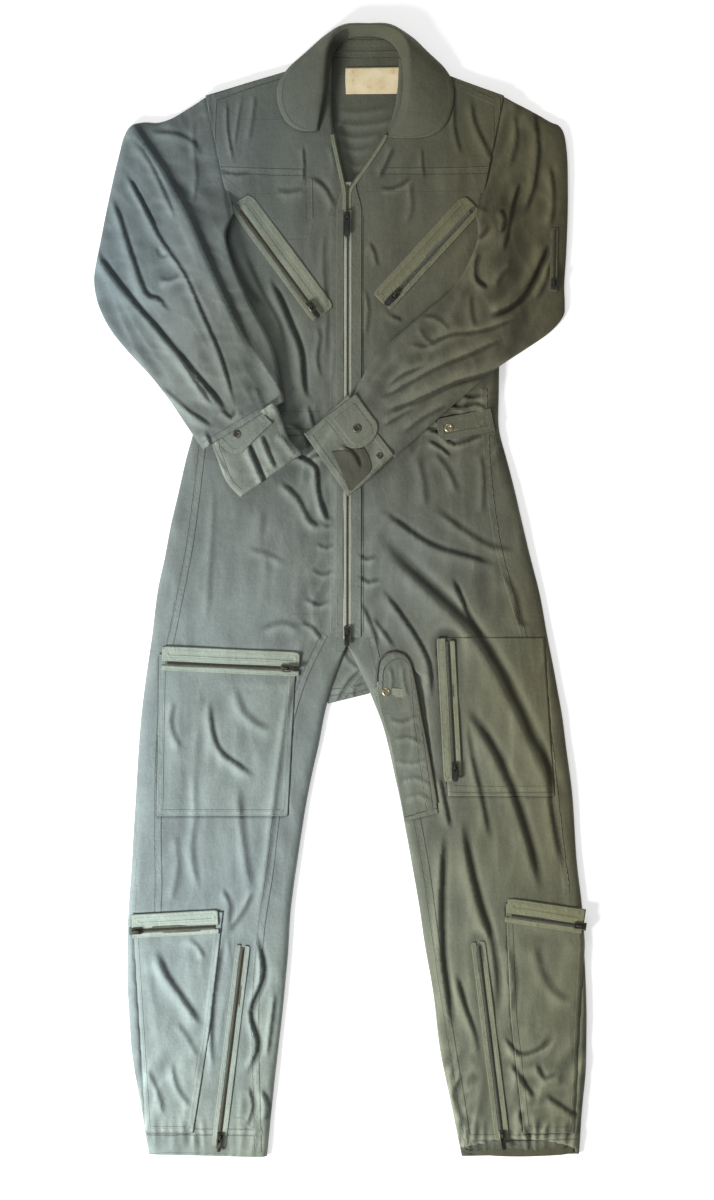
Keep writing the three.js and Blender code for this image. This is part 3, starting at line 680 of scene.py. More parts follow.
trunkFolds = [
    # by the armholes and across the chest
    (1.6, 7, 5, 1.6, 4, [(-190, 462), (-193, 400), (-190, 330)]),
    (1.4, 5, 4, 1.6, 3, [(-168, 462), (-166, 415), (-158, 372)]),
    (1.2, 6, 4, 1.2, 3, [(-146, 468), (-152, 430), (-157, 395)]),
    (1.4, 7, 5, 1.2, 4, [(-128, 472), (-131, 440), (-138, 400)]),
    (0.6, 4, 3, 1.4, 4, [(-182, 362), (-158, 356), (-130, 358)]),
    (-2.6, 14, 12, 1.4, 6, [(-186, 292), (-166, 240), (-140, 190), (-108, 155)]),
    (3.2, 26, 5, 5.5, 4.5, [(-112, 214), (-98, 190), (-80, 148), (-65, 108), (-60, 60), (-50, 38)]),
    (2.0, 16, 6, 2.0, 5, [(-150, 252), (-124, 196), (-98, 150), (-88, 110)]),
    (1.2, 8, 6, 1.6, 5, [(-100, 333), (-80, 330), (-58, 334)]),
    (1.3, 5, 4, 1.8, 3, [(-62, 398), (-60, 372), (-61, 345)]),
    (1.6, 8, 5, 2.4, 5, [(-52, 352), (-34, 340), (-22, 322), (-14, 306)]),
    (1.6, 6, 4, 2.2, 4, [(-22, 398), (-17, 376), (-15, 352)]),
    (1.2, 6, 5, 1.2, 5, [(-30, 290), (-33, 230), (-28, 160), (-30, 90)]),
    (1.0, 6, 4, 1.2, 4, [(-18, 150), (-16, 110), (-22, 60)]),
    (1.4, 7, 5, 2.0, 4, [(66, 398), (56, 376), (44, 350)]),
    (1.4, 5, 5, 2.0, 4, [(44, 338), (58, 334), (78, 340), (96, 354)]),
    (1.2, 5, 4, 1.6, 3, [(104, 394), (105, 372), (108, 350)]),
    (1.2, 8, 6, 1.2, 5, [(88, 350), (90, 310), (82, 286)]),
    (1.4, 6, 5, 1.8, 4, [(30, 262), (38, 246), (42, 226)]),
    (1.6, 9, 6, 2.0, 5, [(172, 466), (178, 428), (196, 388), (210, 362)]),
    (1.4, 7, 5, 1.6, 4, [(150, 462), (150, 420), (160, 380)]),
    (1.4, 7, 5, 1.6, 4, [(24, 200), (30, 168), (26, 130)]),
    (1.6, 7, 5, 2.0, 4, [(52, 176), (60, 160), (80, 150)]),
    (1.2, 6, 5, 1.6, 4, [(-44, 150), (-38, 130), (-42, 100), (-36, 70)]),
    # at the waist
    (3.0, 8, 5, 4.0, 4, [(-96, -44), (-78, -38), (-60, -42), (-44, -56), (-40, -90), (-26, -138)]),
    (2.6, 7, 5, 3.6, 4, [(-60, -40), (-40, -20), (-24, -2)]),
    (2.4, 9, 6, 2.6, 5, [(-96, -72), (-70, -96), (-52, -128), (-30, -140)]),
    (2.2, 6, 5, 2.6, 4, [(-52, -44), (-38, -36), (-22, -40)]),
    (1.8, 7, 5, 2.0, 4, [(-86, 8), (-66, -4), (-52, -30)]),
    (1.6, 6, 5, 2.0, 4, [(-56, 36), (-48, 10), (-40, -14)]),
    (1.6, 8, 6, 2.0, 4, [(-40, -100), (-30, -120), (-16, -132)]),
    (2.6, 6, 5, 3.0, 4, [(104, 2), (128, -6), (150, -22), (182, -12), (200, -6)]),
    (2.2, 5, 5, 2.6, 3, [(112, -16), (132, -28), (146, -40)]),
    (2.2, 5, 5, 2.6, 3, [(120, 14), (140, 2), (164, 4)]),
    (2.0, 6, 5, 2.4, 4, [(130, 40), (156, 30), (180, 34), (198, 26)]),
    (1.8, 6, 5, 2.2, 4, [(150, 52), (172, 44), (196, 46)]),
    (1.8, 10, 7, 1.8, 6, [(120, -30), (140, -56), (156, -92)]),
    (1.6, 10, 7, 1.4, 6, [(98, -34), (106, -70), (110, -110)]),
    (1.8, 9, 7, 1.6, 5, [(186, -30), (190, -70), (188, -120)]),
    # right hip, thigh and knee
    (1.2, 16, 12, 0.8, 7, [(-118, -100), (-122, -150), (-112, -210)]),
    (1.0, 9, 7, 0.9, 5, [(-186, -70), (-188, -130), (-192, -200), (-196, -280)]),
    (1.2, 9, 8, 1.0, 5, [(-140, -168), (-110, -176), (-84, -190)]),
    (1.4, 6, 5, 1.6, 4, [(-40, -128), (-28, -136), (-14, -134)]),
    (1.4, 5, 5, 1.6, 4, [(-44, -160), (-28, -166), (-12, -160)]),
    (1.4, 5, 5, 1.8, 4, [(-50, -196), (-32, -204), (-12, -196)]),
    (1.6, 6, 5, 1.8, 4, [(-60, -236), (-40, -246), (-22, -240)]),
    (1.8, 6, 5, 2.0, 4, [(-64, -270), (-48, -278), (-34, -296)]),
    (1.4, 12, 7, 1.4, 6, [(-118, -282), (-90, -272), (-64, -280)]),
    (2.8, 14, 5, 3.0, 4.5, [(-192, -376), (-188, -420), (-176, -450), (-150, -470), (-128, -486)]),
    (2.2, 12, 8, 1.8, 7, [(-158, -356), (-146, -392), (-122, -414), (-100, -420)]),
    (2.0, 11, 7, 1.8, 5, [(-240, -372), (-246, -410), (-232, -450)]),
    (2.2, 12, 8, 2.0, 7, [(-152, -492), (-148, -550), (-140, -610), (-132, -650)]),
    (1.8, 10, 7, 1.6, 6, [(-214, -470), (-212, -530), (-216, -590), (-206, -650)]),
    (1.4, 10, 7, 1.2, 6, [(-240, -560), (-236, -610), (-246, -664)]),
    (2.4, 9, 7, 1.6, 5, [(-54, -266), (-76, -350), (-90, -430), (-104, -540), (-114, -620), (-128, -700)]),
    (1.6, 8, 6, 2.0, 5, [(-176, -640), (-164, -664), (-168, -700)]),
    (1.6, 8, 6, 2.0, 5, [(-130, -640), (-146, -672), (-168, -700)]),
    # right calf and ankle
    (3.6, 16, 7, 3.4, 6, [(-268, -724), (-252, -762), (-226, -800), (-202, -836)]),
    (1.8, 8, 6, 1.8, 4, [(-226, -706), (-208, -722), (-198, -740)]),
    (2.0, 8, 6, 2.2, 5, [(-172, -700), (-182, -760), (-190, -830), (-186, -900)]),
    (2.0, 7, 5, 2.4, 4, [(-168, -700), (-160, -760), (-172, -820), (-178, -880)]),
    (3.0, 8, 6, 5.0, 5, [(-128, -700), (-118, -760), (-136, -812), (-126, -860), (-142, -902)]),
    (2.0, 7, 6, 2.6, 4, [(-100, -780), (-106, -830), (-112, -880)]),
    (2.4, 7, 6, 3.0, 4, [(-120, -920), (-112, -944), (-116, -966)]),
    (1.8, 6, 5, 2.4, 4, [(-138, -916), (-132, -944), (-140, -972)]),
    (1.4, 8, 6, 1.8, 5, [(-246, -880), (-236, -920), (-214, -950)]),
    (1.4, 8, 6, 1.6, 5, [(-280, -890), (-262, -930), (-256, -960)]),
    (1.2, 9, 6, 1.4, 5, [(-240, -826), (-222, -850), (-206, -880)]),
    # left thigh: the long drag folds
    (5.2, 30, 20, 5.5, 11, [(34, -146), (62, -180), (102, -219), (140, -254), (174, -290), (206, -340), (236, -400), (264, -462), (296, -530)]),
    (1.5, 12, 4, 3.6, 4, [(146, -206), (160, -238), (175, -272), (190, -296)]),
    (2.2, 20, 8, 3.0, 5, [(46, -112), (74, -134), (120, -164), (172, -180), (214, -194)]),
    (1.8, 12, 8, 2.0, 6, [(120, -110), (160, -140), (200, -164), (240, -172)]),
    (2.6, 14, 5, 3.0, 4, [(46, -220), (72, -255), (98, -294), (114, -330), (118, -380)]),
    (1.8, 8, 5, 2.2, 4, [(18, -240), (36, -280), (44, -306)]),
    (1.8, 7, 5, 2.0, 4, [(34, -262), (54, -288), (66, -306)]),
    (1.8, 6, 5, 2.2, 4, [(10, -170), (26, -182), (44, -178)]),
    (1.8, 6, 5, 2.2, 4, [(12, -204), (30, -214), (50, -210)]),
    (1.8, 14, 9, 1.8, 6, [(216, -200), (232, -232), (240, -270), (262, -276)]),
    (3.6, 22, 13, 4.6, 8, [(158, -386), (186, -424), (212, -470), (236, -532), (256, -600), (268, -652)]),
    (2.0, 12, 7, 2.4, 5, [(164, -400), (172, -452), (186, -512), (200, -580)]),
    (1.8, 10, 6, 2.6, 4, [(128, -480), (134, -512), (144, -560)]),
    (2.4, 16, 9, 2.6, 6, [(262, -420), (276, -470), (284, -540), (300, -620)]),
    # left shin, calf and ankle
    (3.6, 18, 9, 4.8, 7, [(158, -536), (168, -600), (182, -660), (198, -712), (206, -776), (198, -836)]),
    (3.2, 14, 9, 4.6, 6, [(134, -556), (130, -640), (131, -730), (138, -786), (146, -846)]),
    (2.4, 10, 6, 3.4, 5, [(150, -756), (164, -806), (180, -848), (186, -884)]),
    (2.4, 9, 7, 2.6, 5, [(176, -700), (176, -756), (186, -800)]),
    (2.2, 9, 6, 2.8, 4, [(216, -846), (240, -872), (268, -868), (292, -850)]),
    (2.4, 9, 6, 3.0, 5, [(226, -884), (246, -912), (262, -936)]),
    (2.0, 8, 6, 2.6, 5, [(262, -884), (276, -906), (300, -900)]),
    (2.0, 9, 6, 2.6, 5, [(276, -930), (300, -946), (322, -962)]),
    (2.4, 8, 6, 3.0, 5, [(238, -946), (246, -976), (258, -1002)]),
    (2.4, 9, 6, 2.8, 5, [(206, -870), (212, -930), (206, -990)]),
    (2.0, 8, 6, 2.4, 5, [(160, -896), (150, -930), (162, -972)]),
    (2.0, 8, 6, 2.6, 5, [(146, -880), (146, -930), (152, -964)]),
    (2.2, 16, 10, 1.8, 8, [(262, -716), (270, -756), (292, -790), (320, -800)]),
    (1.6, 12, 8, 1.8, 6, [(224, -716), (232, -770), (228, -820)]),
]

# Where the cloth is crumpled all over: the left ankle most, then the right ankle, the waist and the fly
crumples = (
    (1.0, (110, 350, -1030, -840, 60)),
    (0.6, (-300, -90, -1030, -860, 60)),
    (1.0, (90, 220, -50, 60, 30)),
    (0.8, (-110, 0, -90, 60, 40)),
    (0.6, (-60, 60, -300, -100, 30)),
)
crossedCrumples = ((1.0, (130, 350, -1000, -860, 60)), (0.5, (110, 215, -40, 60, 30)))


def strongest(areas):
    return np.maximum.reduce([share * within(*area) for share, area in areas])


def trunkHeight():
    height = 0.75 * rumple(3, 90, 26, 82) + 0.5 * rumple(4, 46, 15, 97)
    height += 0.5 * (0.8 - np.abs(rumple(5, 26, 8, 90))) * within(-400, 400, -1040, 380)
    height += 1.1 * (0.9 - np.abs(rumple(6, 15, 7, 70))) * strongest(crumples)
    height += 0.8 * (0.9 - np.abs(rumple(8, 13, 6, 20))) * strongest(crossedCrumples)
    addFolds(height, trunkFolds, high=1.15, deep=1.45, broad=0.8)
    gather = np.sin(gridX * 0.46 + 1.3 * rumple(9, 40, 20, 90)) * (0.75 + 0.25 * rumple(10, 20, 20))
    height += 1.5 * gather * smoothStep((-952 - gridY) / 34) * (1 - 0.55 * smoothStep((-996 - gridY) / 10))
    return height * (0.04 + 0.96 * smoothStep((nearZip(gridX, gridY) - 10) / 18))


loops = {side: loopOf(f"sleeve_{side}_top") for side in ("right", "left")}
covered = softened(np.maximum(insidePolygon(loops["right"]), insidePolygon(loops["left"])) * (gridY < 300), 6)
trunkMap = flatHeight + trunkHeight()
trunkMap = np.where(covered > 0.05, np.minimum(trunkMap, 17.6 - 3.0 * np.clip(covered, 0, 1)), trunkMap)

# Deep grooves run out softly above the floor of the cloth
grooveFrom, grooveSoft = 8.0, 4.2
groove = grooveFrom - grooveSoft * (1 - np.exp((trunkMap - grooveFrom) / grooveSoft))
trunkMap = np.where(trunkMap < grooveFrom, groove, np.minimum(trunkMap, 24))

# The left hem gapes, and the cloth is lowered under the patch pockets
hemMouth = np.array([
    (160, -1003), (178, -999), (206, -994), (240, -991), (276, -993),
    (304, -998), (319, -1004), (322, -1018), (240, -1024), (158, -1018),
])  # fmt: skip
mouthShade = softened(insidePolygon(hemMouth), 1)
trunkMap = trunkMap * (1 - mouthShade) + 5.0 * mouthShade
patches = ("thigh_pocket_right", "thigh_pocket_left", "calf_pocket_right", "calf_pocket_left", "knife_pocket")
underPatches = np.maximum.reduce([softened(insidePolygon(loopOf(node)), 2) for node in patches])
pocketShade = np.clip(2.2 * underPatches - 1.2, 0, 1)
trunkCrest = crestOf(trunkMap)
print("front laid out")


# Seams: each is a run with its two rows of stitches on its left-hand side
sideSeams = {
    "right": [(-196, 40), (-203, 0), (-222, -150), (-243, -260), (-258, -340), (-266, -450), (-268, -560), (-267, -640), (-270, -700)],
    "left": [(196, 60), (198, 0), (206, -100), (220, -180), (246, -270), (270, -350), (286, -430), (301, -560), (312, -650)],
}
insideSeams = {
    "right": [(-34, -282), (-66, -350), (-88, -430), (-103, -540), (-112, -620), (-124, -700), (-132, -820), (-128, -1010)],
    "left": [(30, -290), (52, -380), (84, -500), (104, -600), (118, -700), (136, -820), (156, -940), (166, -1010)],
}
trunkSeams = {
    "right": [
        sideSeams["right"],
        insideSeams["right"],
        [(-1, 0), (-100, 1), (-215, 0)],
        [(-14, -286), (-14, -100), (-14, 100), (-14, 300)],
        [(-190, 468), (-192, 400), (-182, 340), (-172, 300)],
        [(-186, 458), (-110, 484), (-50, 502)],
        [(-190, 358), (-120, 356), (-58, 354)],
        [(-58, 354), (-57, 340), (-56, 290)],
        [(-282, -984), (-200, -985), (-116, -985)],
    ],
    "left": [
        sideSeams["left"][::-1],
        insideSeams["left"],
        [(215, 2), (100, 2), (1, 2)],
        [(14, 300), (14, 100), (14, -100), (14, -286)],
        [(205, 466), (206, 400), (198, 340), (190, 300)],
        [(210, 460), (150, 486), (96, 500)],
        [(52, 356), (130, 356), (200, 358)],
        [(160, -992), (240, -993), (324, -990)],
    ],
}
trunk = {
    "rowGap": 2.3,
    "collarEnd": 519.0,
    "hemEnd": -1011.9,
    "seat": -301.0,  # the front's crotch point
    "neckFoot": 334.0,
    "armhole": 300.0,
    "sideRoll": 13.0,  # how softly the cloth turns under at the sides
    "legRoll": 12.0,
    "neckRoll": 5.0,
    "frontRoll": 0.8,
    "seamRoll": 1.2,
    "wobble": 0.9,
    "underPocket": 4.0,  # how far it lies lower there
    "hemMouth": 26,
}


def trunkHalf(side):
    ys = np.arange(trunk["collarEnd"], trunk["hemEnd"], -trunk["rowGap"])
    low, high = spans([f"torso_front_{side}", f"trouser_front_{side}"], ys)
    outer, inner = (low, high) if side == "right" else (high, low)
    seat, armhole = trunk["seat"], trunk["armhole"]
    outer = np.where(ys < armhole - 8, eased(outer, 7), outer)
    inner = np.where(ys < seat - 6, eased(inner, 6), inner)
    outer = outer + lookUp(rumple(21, 30, 30), outer, ys) * trunk["wobble"] * smoothStep((armhole - ys) / 40)
    legWobble = lookUp(rumple(22, 30, 30), inner, ys) * trunk["wobble"] * smoothStep((seat - ys) / 60)
    inner = inner + np.where(ys < seat, legWobble, 0)
    hemDip = smoothStep((-930 - ys) / 82)
    sideRoll = trunk["sideRoll"] * smoothStep((armhole + 6 - ys) / 30)
    outerRoll = np.where(ys > armhole, 0, sideRoll) + trunk["seamRoll"]
    innerRoll = np.where(ys > trunk["neckFoot"], trunk["neckRoll"], trunk["frontRoll"])
    legRoll = trunk["frontRoll"] + (trunk["legRoll"] - trunk["frontRoll"]) * smoothStep((seat - ys) / 40)
    innerRoll = np.where(ys < seat, legRoll, innerRoll)
    piece = clothTube(
        f"front_{side}",
        np.stack([outer, ys - 1.5 * hemDip], axis=1),
        np.stack([inner, ys - 5.0 * hemDip], axis=1),
        lambda x, y: np.maximum(lookUp(trunkMap, x, y) - trunk["underPocket"] * lookUp(pocketShade, x, y), 2.6),
        0.3,
        (outerRoll, innerRoll),
        sage,
        mouth=trunk["hemMouth"],
        crestAndShade=trunkCrest,
        seams=trunkSeams[side],
        lip=2.6,
    )
    stands = [f"torso_front_{side}", f"trouser_front_{side}", f"trouser_back_{side}", f"side_seam_{side}"]
    sewn(piece, "garment", replaced=stands)


for side in ("right", "left"):
    trunkHalf(side)
print("fronts and trousers made")


# The back, seen inside the neck and below the crotch
def backPiece(name, left, right, height, floor, seams, replaced, roll=1.5, shade=0):
    lines = [np.asarray(line, float) for line in (left, right)]
    rows = int(max(lengthOf(line) for line in lines) / 2.4)
    edges = [spread(smoothRun(line, len(line) * 20), rows) for line in lines]
    top = lambda x, y: lookUp(height, x, y)
    piece = clothTube(name, *edges, top, floor, roll, sage, lip=0.5, crestAndShade=crestOf(height) + shade, seams=seams)
    sewn(piece, "garment", replaced=replaced)


backFolds = [
    (1.6, 6, 5, 1.2, 4, [(-24, 430), (10, 426), (44, 428), (72, 436)]),
    (1.4, 6, 5, 1.2, 4, [(-16, 412), (14, 408), (50, 414)]),
    (1.2, 6, 5, 1.0, 4, [(-8, 394), (14, 390), (40, 396)]),
    (1.2, 7, 5, 1.0, 4, [(-14, 446), (20, 444), (66, 452)]),
    (1.0, 6, 5, 1.0, 3, [(2, 372), (14, 368), (26, 374)]),
]
seatFolds = [
    (1.6, 8, 4, 2.0, 3, [(22, -330), (2, -350), (-16, -380)]),
    (1.2, 6, 4, 1.6, 3, [(-12, -300), (4, -324), (20, -334), (36, -340)]),
    (1.2, 6, 4, 1.4, 3, [(24, -346), (10, -362), (12, -380)]),
]
backMap, seatMap = 0.48 * rumple(31, 40, 14, 0), 0.4 * rumple(32, 40, 14, 0)
addFolds(backMap, backFolds)
addFolds(seatMap, seatFolds)
backMap += 2.2
seatMap += 5.0
backShade = -2.6 * np.exp(-(((gridX + 21) / 9.0) ** 2)) * smoothStep((gridY - 400) / 60)
backPiece(
    "back_neck",
    [(-10, 556), (-44, 532), (-60, 490), (-52, 440), (-34, 370), (-14, 318)],
    [(64, 556), (98, 532), (110, 490), (98, 440), (64, 370), (18, 318)],
    backMap,
    0.35,
    [[(-60, 524), (26, 521), (112, 524)], [(112, 548), (26, 546), (-60, 548)]],
    ["torso_back"],
    shade=backShade,
)
backPiece(
    "seat_back",
    [(-56, -262), (-52, -320), (-40, -362), (-26, -383)],
    [(54, -262), (52, -320), (42, -352), (31, -369)],
    seatMap,
    0.4,
    [[(20, -334), (2, -352), (-15, -380)], [(-36, -372), (2, -369), (36, -361)]],
    ["inseam"],
    roll=3.0,
)
for side, sign in (("right", -1), ("left", 1)):
    outerLine = [(sign * x, y) for x, y in ((206, 350), (204, 310), (196, 262), (180, 214))]
    innerLine = [(sign * x, y) for x, y in ((168, 350), (160, 306), (156, 262), (158, 214))]
    lines = (outerLine, innerLine) if side == "right" else (innerLine, outerLine)
    backPiece(f"underarm_{side}", *lines, np.full(gridX.shape, 7.5), 0.8, [[(0, 0), (1, 1)]], [], roll=4.0)
print("back made")


# Sleeves
sleeveFolds = {
    "right": [
        (8.5, 74, 4, 3.0, 5, [(-309, 436), (-278, 392), (-252, 352), (-219, 291), (-194, 233), (-152, 143), (-114, 84), (-92, 50), (-74, 20)], 0.06),
        (3.4, 14, 4, 4.0, 4, [(-330, 328), (-316, 291), (-300, 240), (-281, 190), (-262, 180), (-244, 158)], 0.2),
        (4.2, 26, 4, 5.4, 4.5, [(-352, 256), (-340, 232), (-309, 191), (-268, 143), (-213, 78), (-164, 20)], 0.12),
        (2.8, 9, 4, 3.0, 3.5, [(-314, 366), (-290, 322), (-262, 268), (-226, 214), (-200, 156), (-176, 100), (-154, 28)], 0.15),
        (2.0, 7, 4, 2.4, 3, [(-304, 350), (-284, 312), (-266, 278)], 0.2),
        (2.2, 8, 5, 1.8, 4, [(-300, 404), (-276, 372), (-252, 322), (-236, 284)], 0.2),
        (2.4, 8, 5, 2.6, 4, [(-238, 108), (-212, 66), (-186, 30)], 0.2),
        (2.8, 10, 5, 2.6, 4, [(-262, 60), (-232, 34), (-206, 14), (-184, 0)], 0.2),
        (1.8, 9, 7, 1.8, 5, [(-276, 414), (-236, 410), (-212, 396), (-206, 376)], 0.2),
        (1.4, 7, 5, 1.2, 4, [(-214, 440), (-214, 400), (-210, 350), (-216, 310)], 0.2),
        (1.6, 9, 7, 1.6, 5, [(-262, 208), (-244, 206), (-228, 212)], 0.2),
        (1.6, 8, 6, 1.8, 4, [(-246, 250), (-256, 244), (-262, 256)], 0.2),
        (2.4, 8, 5, 2.4, 4, [(-198, 0), (-184, -34), (-166, -66)], 0.2),
        (4.0, 9, 3, 6.5, 4, [(-140, -8), (-134, -30), (-124, -54), (-110, -86)], 0.12),
        (3.0, 7, 5, 3.4, 4, [(-120, -8), (-110, -34), (-100, -56)], 0.15),
        (2.4, 8, 5, 2.0, 4, [(-96, -6), (-80, -26), (-70, -40)], 0.2),
        (2.2, 7, 5, 2.2, 4, [(-176, 26), (-160, 14), (-150, 26)], 0.2),
        (1.8, 7, 5, 2.0, 4, [(-128, 60), (-116, 30), (-112, 6)], 0.2),
    ],
    "left": [
        (4.4, 14, 8, 5.5, 6, [(280, 262), (268, 232), (248, 194), (224, 172), (196, 158)], 0.16),
        (2.4, 9, 6, 2.4, 5, [(284, 236), (276, 206), (262, 182)], 0.2),
        (3.0, 8, 5, 5.0, 4.5, [(182, 246), (177, 226), (180, 206), (196, 192)], 0.2),
        (2.4, 7, 5, 3.4, 4, [(212, 306), (218, 290), (214, 272)], 0.2),
        (2.0, 9, 7, 2.2, 5, [(150, 266), (170, 260), (192, 266), (204, 284)], 0.2),
        (1.8, 9, 7, 1.8, 5, [(152, 298), (176, 306), (198, 298)], 0.2),
        (2.6, 8, 5, 2.8, 4, [(104, 154), (124, 151), (142, 134)], 0.2),
        (2.2, 7, 5, 2.6, 4, [(98, 140), (110, 122), (124, 112)], 0.2),
        (1.8, 7, 5, 2.0, 4, [(82, 116), (112, 112), (140, 126), (170, 134)], 0.2),
        (3.6, 15, 6, 4.0, 5, [(232, 98), (196, 80), (150, 66), (104, 45), (52, 24)], 0.12),
        (2.6, 11, 5, 2.6, 4, [(218, 128), (176, 108), (120, 84), (70, 56), (44, 44)], 0.14),
        (2.2, 8, 5, 2.4, 4, [(110, 90), (76, 76), (54, 58)], 0.2),
        (2.2, 8, 5, 2.2, 4, [(240, 160), (200, 142), (150, 132), (110, 122)], 0.2),
        (1.8, 7, 5, 2.2, 4, [(92, 30), (64, 14), (48, 4)], 0.2),
        (2.0, 8, 5, 2.2, 4, [(140, 36), (104, 16), (76, -6)], 0.2),
        (2.4, 12, 6, 2.4, 5, [(258, 448), (266, 400), (262, 346), (246, 300)], 0.18),
        (2.4, 9, 5, 2.6, 4, [(242, 350), (230, 312), (222, 274), (216, 244)], 0.18),
        (1.8, 9, 6, 1.8, 5, [(232, 446), (236, 404), (226, 366)], 0.2),
        (2.0, 10, 6, 2.0, 5, [(282, 372), (288, 320), (282, 280)], 0.2),
        (1.8, 8, 6, 2.0, 5, [(170, 190), (172, 160), (178, 138)], 0.2),
        (1.6, 8, 6, 1.6, 5, [(230, 230), (214, 214), (206, 196)], 0.2),
        (2.6, 9, 5, 2.4, 4, [(-10, -24), (8, -34), (20, -56)], 0.2),
    ],
}
sleeveRows = 236
sleeveShape = {
    "right": {
        "sign": -1,
        "seed": 41,
        "grain": 118,  # the way the rumples run, in degrees
        "tip": (-198, 466),  # the shoulder's tip, and the armhole's foot
        "foot": (-164, 300),
        "end": (-200, -30),  # where the outer and the inner edge meet the cuff
        "innerEnd": (-97, 38),
        "outRoll": 12,
        "inRoll": 6,
        "swingWay": (-0.8, -0.6),  # the cloth bends between these two stretches from the tip
        "bends": (68, 142),
    },
    "left": {
        "sign": 1,
        "seed": 42,
        "grain": 62,
        "tip": (220, 466),
        "foot": (186, 300),
        "end": (66, -40),
        "innerEnd": (5, 40),
        "outRoll": 24,
        "inRoll": 8,
        "swingWay": (0.55, -0.835),
        "bends": (118, 194),
    },
}
cuffFloor = {side: laidOut(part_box(f"cuff_{side}")[0])[2] for side in ("right", "left")}


# The forearms lie on the trunk, so the sleeve's floor climbs over it
def liftOver(side):
    sign = sleeveShape[side]["sign"]

    def floor(x, y):
        over = smoothStep(sign * (sign * 266 - np.asarray(x)) / 62)
        folded = smoothStep((354 - np.asarray(y)) / 84)
        return 0.4 + cuffFloor[side] * over * folded

    return floor


def sleeveHeight(side):
    seed, grain = sleeveShape[side]["seed"], sleeveShape[side]["grain"]
    height = 0.9 * rumple(seed, 60, 17, grain)
    height += 0.8 * (0.8 - np.abs(rumple(seed + 2, 34, 8, grain)))
    height += 0.5 * (0.8 - np.abs(rumple(seed + 4, 12, 6, grain + 50)))
    height *= smoothStep((np.abs(gridY - 385) + 30) / 60)
    addFolds(height, sleeveFolds[side], high=1.1, deep=1.5, broad=0.78)
    return np.clip(height, -8, 10.5)


def sleeveCloth(side):
    spec = sleeveShape[side]
    outer = between(loops[side], spec["tip"], spec["end"])
    inner = between(loops[side], spec["foot"], spec["innerEnd"])
    edgeA, edgeB = (spread(smoothRun(line, len(line) * 12), sleeveRows) for line in (outer, inner))
    away = np.array([spec["sign"] * 0.98, -0.2])
    armpit = edgeB[0].copy()
    row = np.arange(sleeveRows)

    # The first rows go in under the trunk's cloth at the armhole
    edgeA -= 5.5 * (1 - smoothStep(row / 16.0))[:, None] * away
    edgeB -= 7.0 * (1 - smoothStep(row / 34.0))[:, None] * away
    if side == "right":
        edgeB[:, 0] += 10 * smoothStep((230 - edgeB[:, 1]) / 120)
    floor = liftOver(side)
    relief = sleeveMaps[side] = sleeveHeight(side)

    def top(x, y):
        past = (x - armpit[0]) * away[0] + (y - armpit[1]) * away[1]
        tucked = 1 - np.maximum(smoothStep((past + 4) / 7), smoothStep((armpit[1] - 16 - y) / 10))
        height = smoothStep((past + 2) / 28) * lookUp(relief, x, y)
        return floor(x, y) + flatHeight - 0.4 + height - 2.2 * tucked

    seamed = smoothStep((row - 3) / 12.0)
    sleeve = clothTube(
        f"sleeve_cloth_{side}",
        edgeA,
        edgeB,
        top,
        floor,
        (1.0 + spec["outRoll"] * seamed, 1.0 + spec["inRoll"] * seamed),
        sage,
        crestAndShade=crestOf(relief),
        seams=[[edgeA[-1], (edgeA[-1] + edgeB[-1]) / 2, edgeB[-1]]],
        lip=3.4,
    )
    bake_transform(sleeve)
    stands = [f"sleeve_{side}_top", f"sleeve_{side}_under"]
    sewn(sleeve, None, replaced=stands)
    return edgeA, edgeB


sleeveMaps = {}
sleeveEdges = {side: sleeveCloth(side) for side in ("right", "left")}
print("sleeves made")


# Cuffs and their tabs
def bodyOf(node):
    return next(body for body, nodes in frame["record"]["behaviour"]["bodies"].items() if node in nodes)


def tabFrame(node, joint):
    base = laidOut(next(j for j in frame["joints"] if j["name"] == joint)["pos_m"])[:2]
    loop = loopOf(node)
    tip = loop[np.hypot(*(loop - base).T).argmax()]
    long = float(np.hypot(*(tip - base)))
    way = (tip - base) / np.hypot(*(tip - base))
    out = np.array([-way[1], way[0]])
    half = float(np.abs((loop - base) @ out).max())
    return {"base": base, "way": way, "out": out, "long": long, "half": half, "low": laidOut(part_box(node)[0])[2]}


# Each tab's hinge and snap, how long its nose is, how square, and how much broader the cloth lies
tabs = {
    "cuff_tab_right": {"joint": "cuff_tab_right_hinge", "snap": "cuff_snap_right", "nose": 20, "power": 2.1, "broad": 1.12},
    "cuff_tab_left": {"joint": "cuff_tab_left_hinge", "snap": "cuff_snap_left", "nose": 20, "power": 1.9, "broad": 1.3},
    "waist_tab_left": {"joint": "waist_tab_hinge", "snap": "waist_snap_left", "nose": 9, "power": 3.0, "broad": 1.0},
    "knife_strap": {"joint": "knife_strap_hinge", "snap": "knife_snap", "nose": 6, "power": 2.6, "broad": 1.0},
}
cuffLong = 75


def nearestOf(group, spot):
    return group[np.hypot(*(group - spot).T).argmin()]


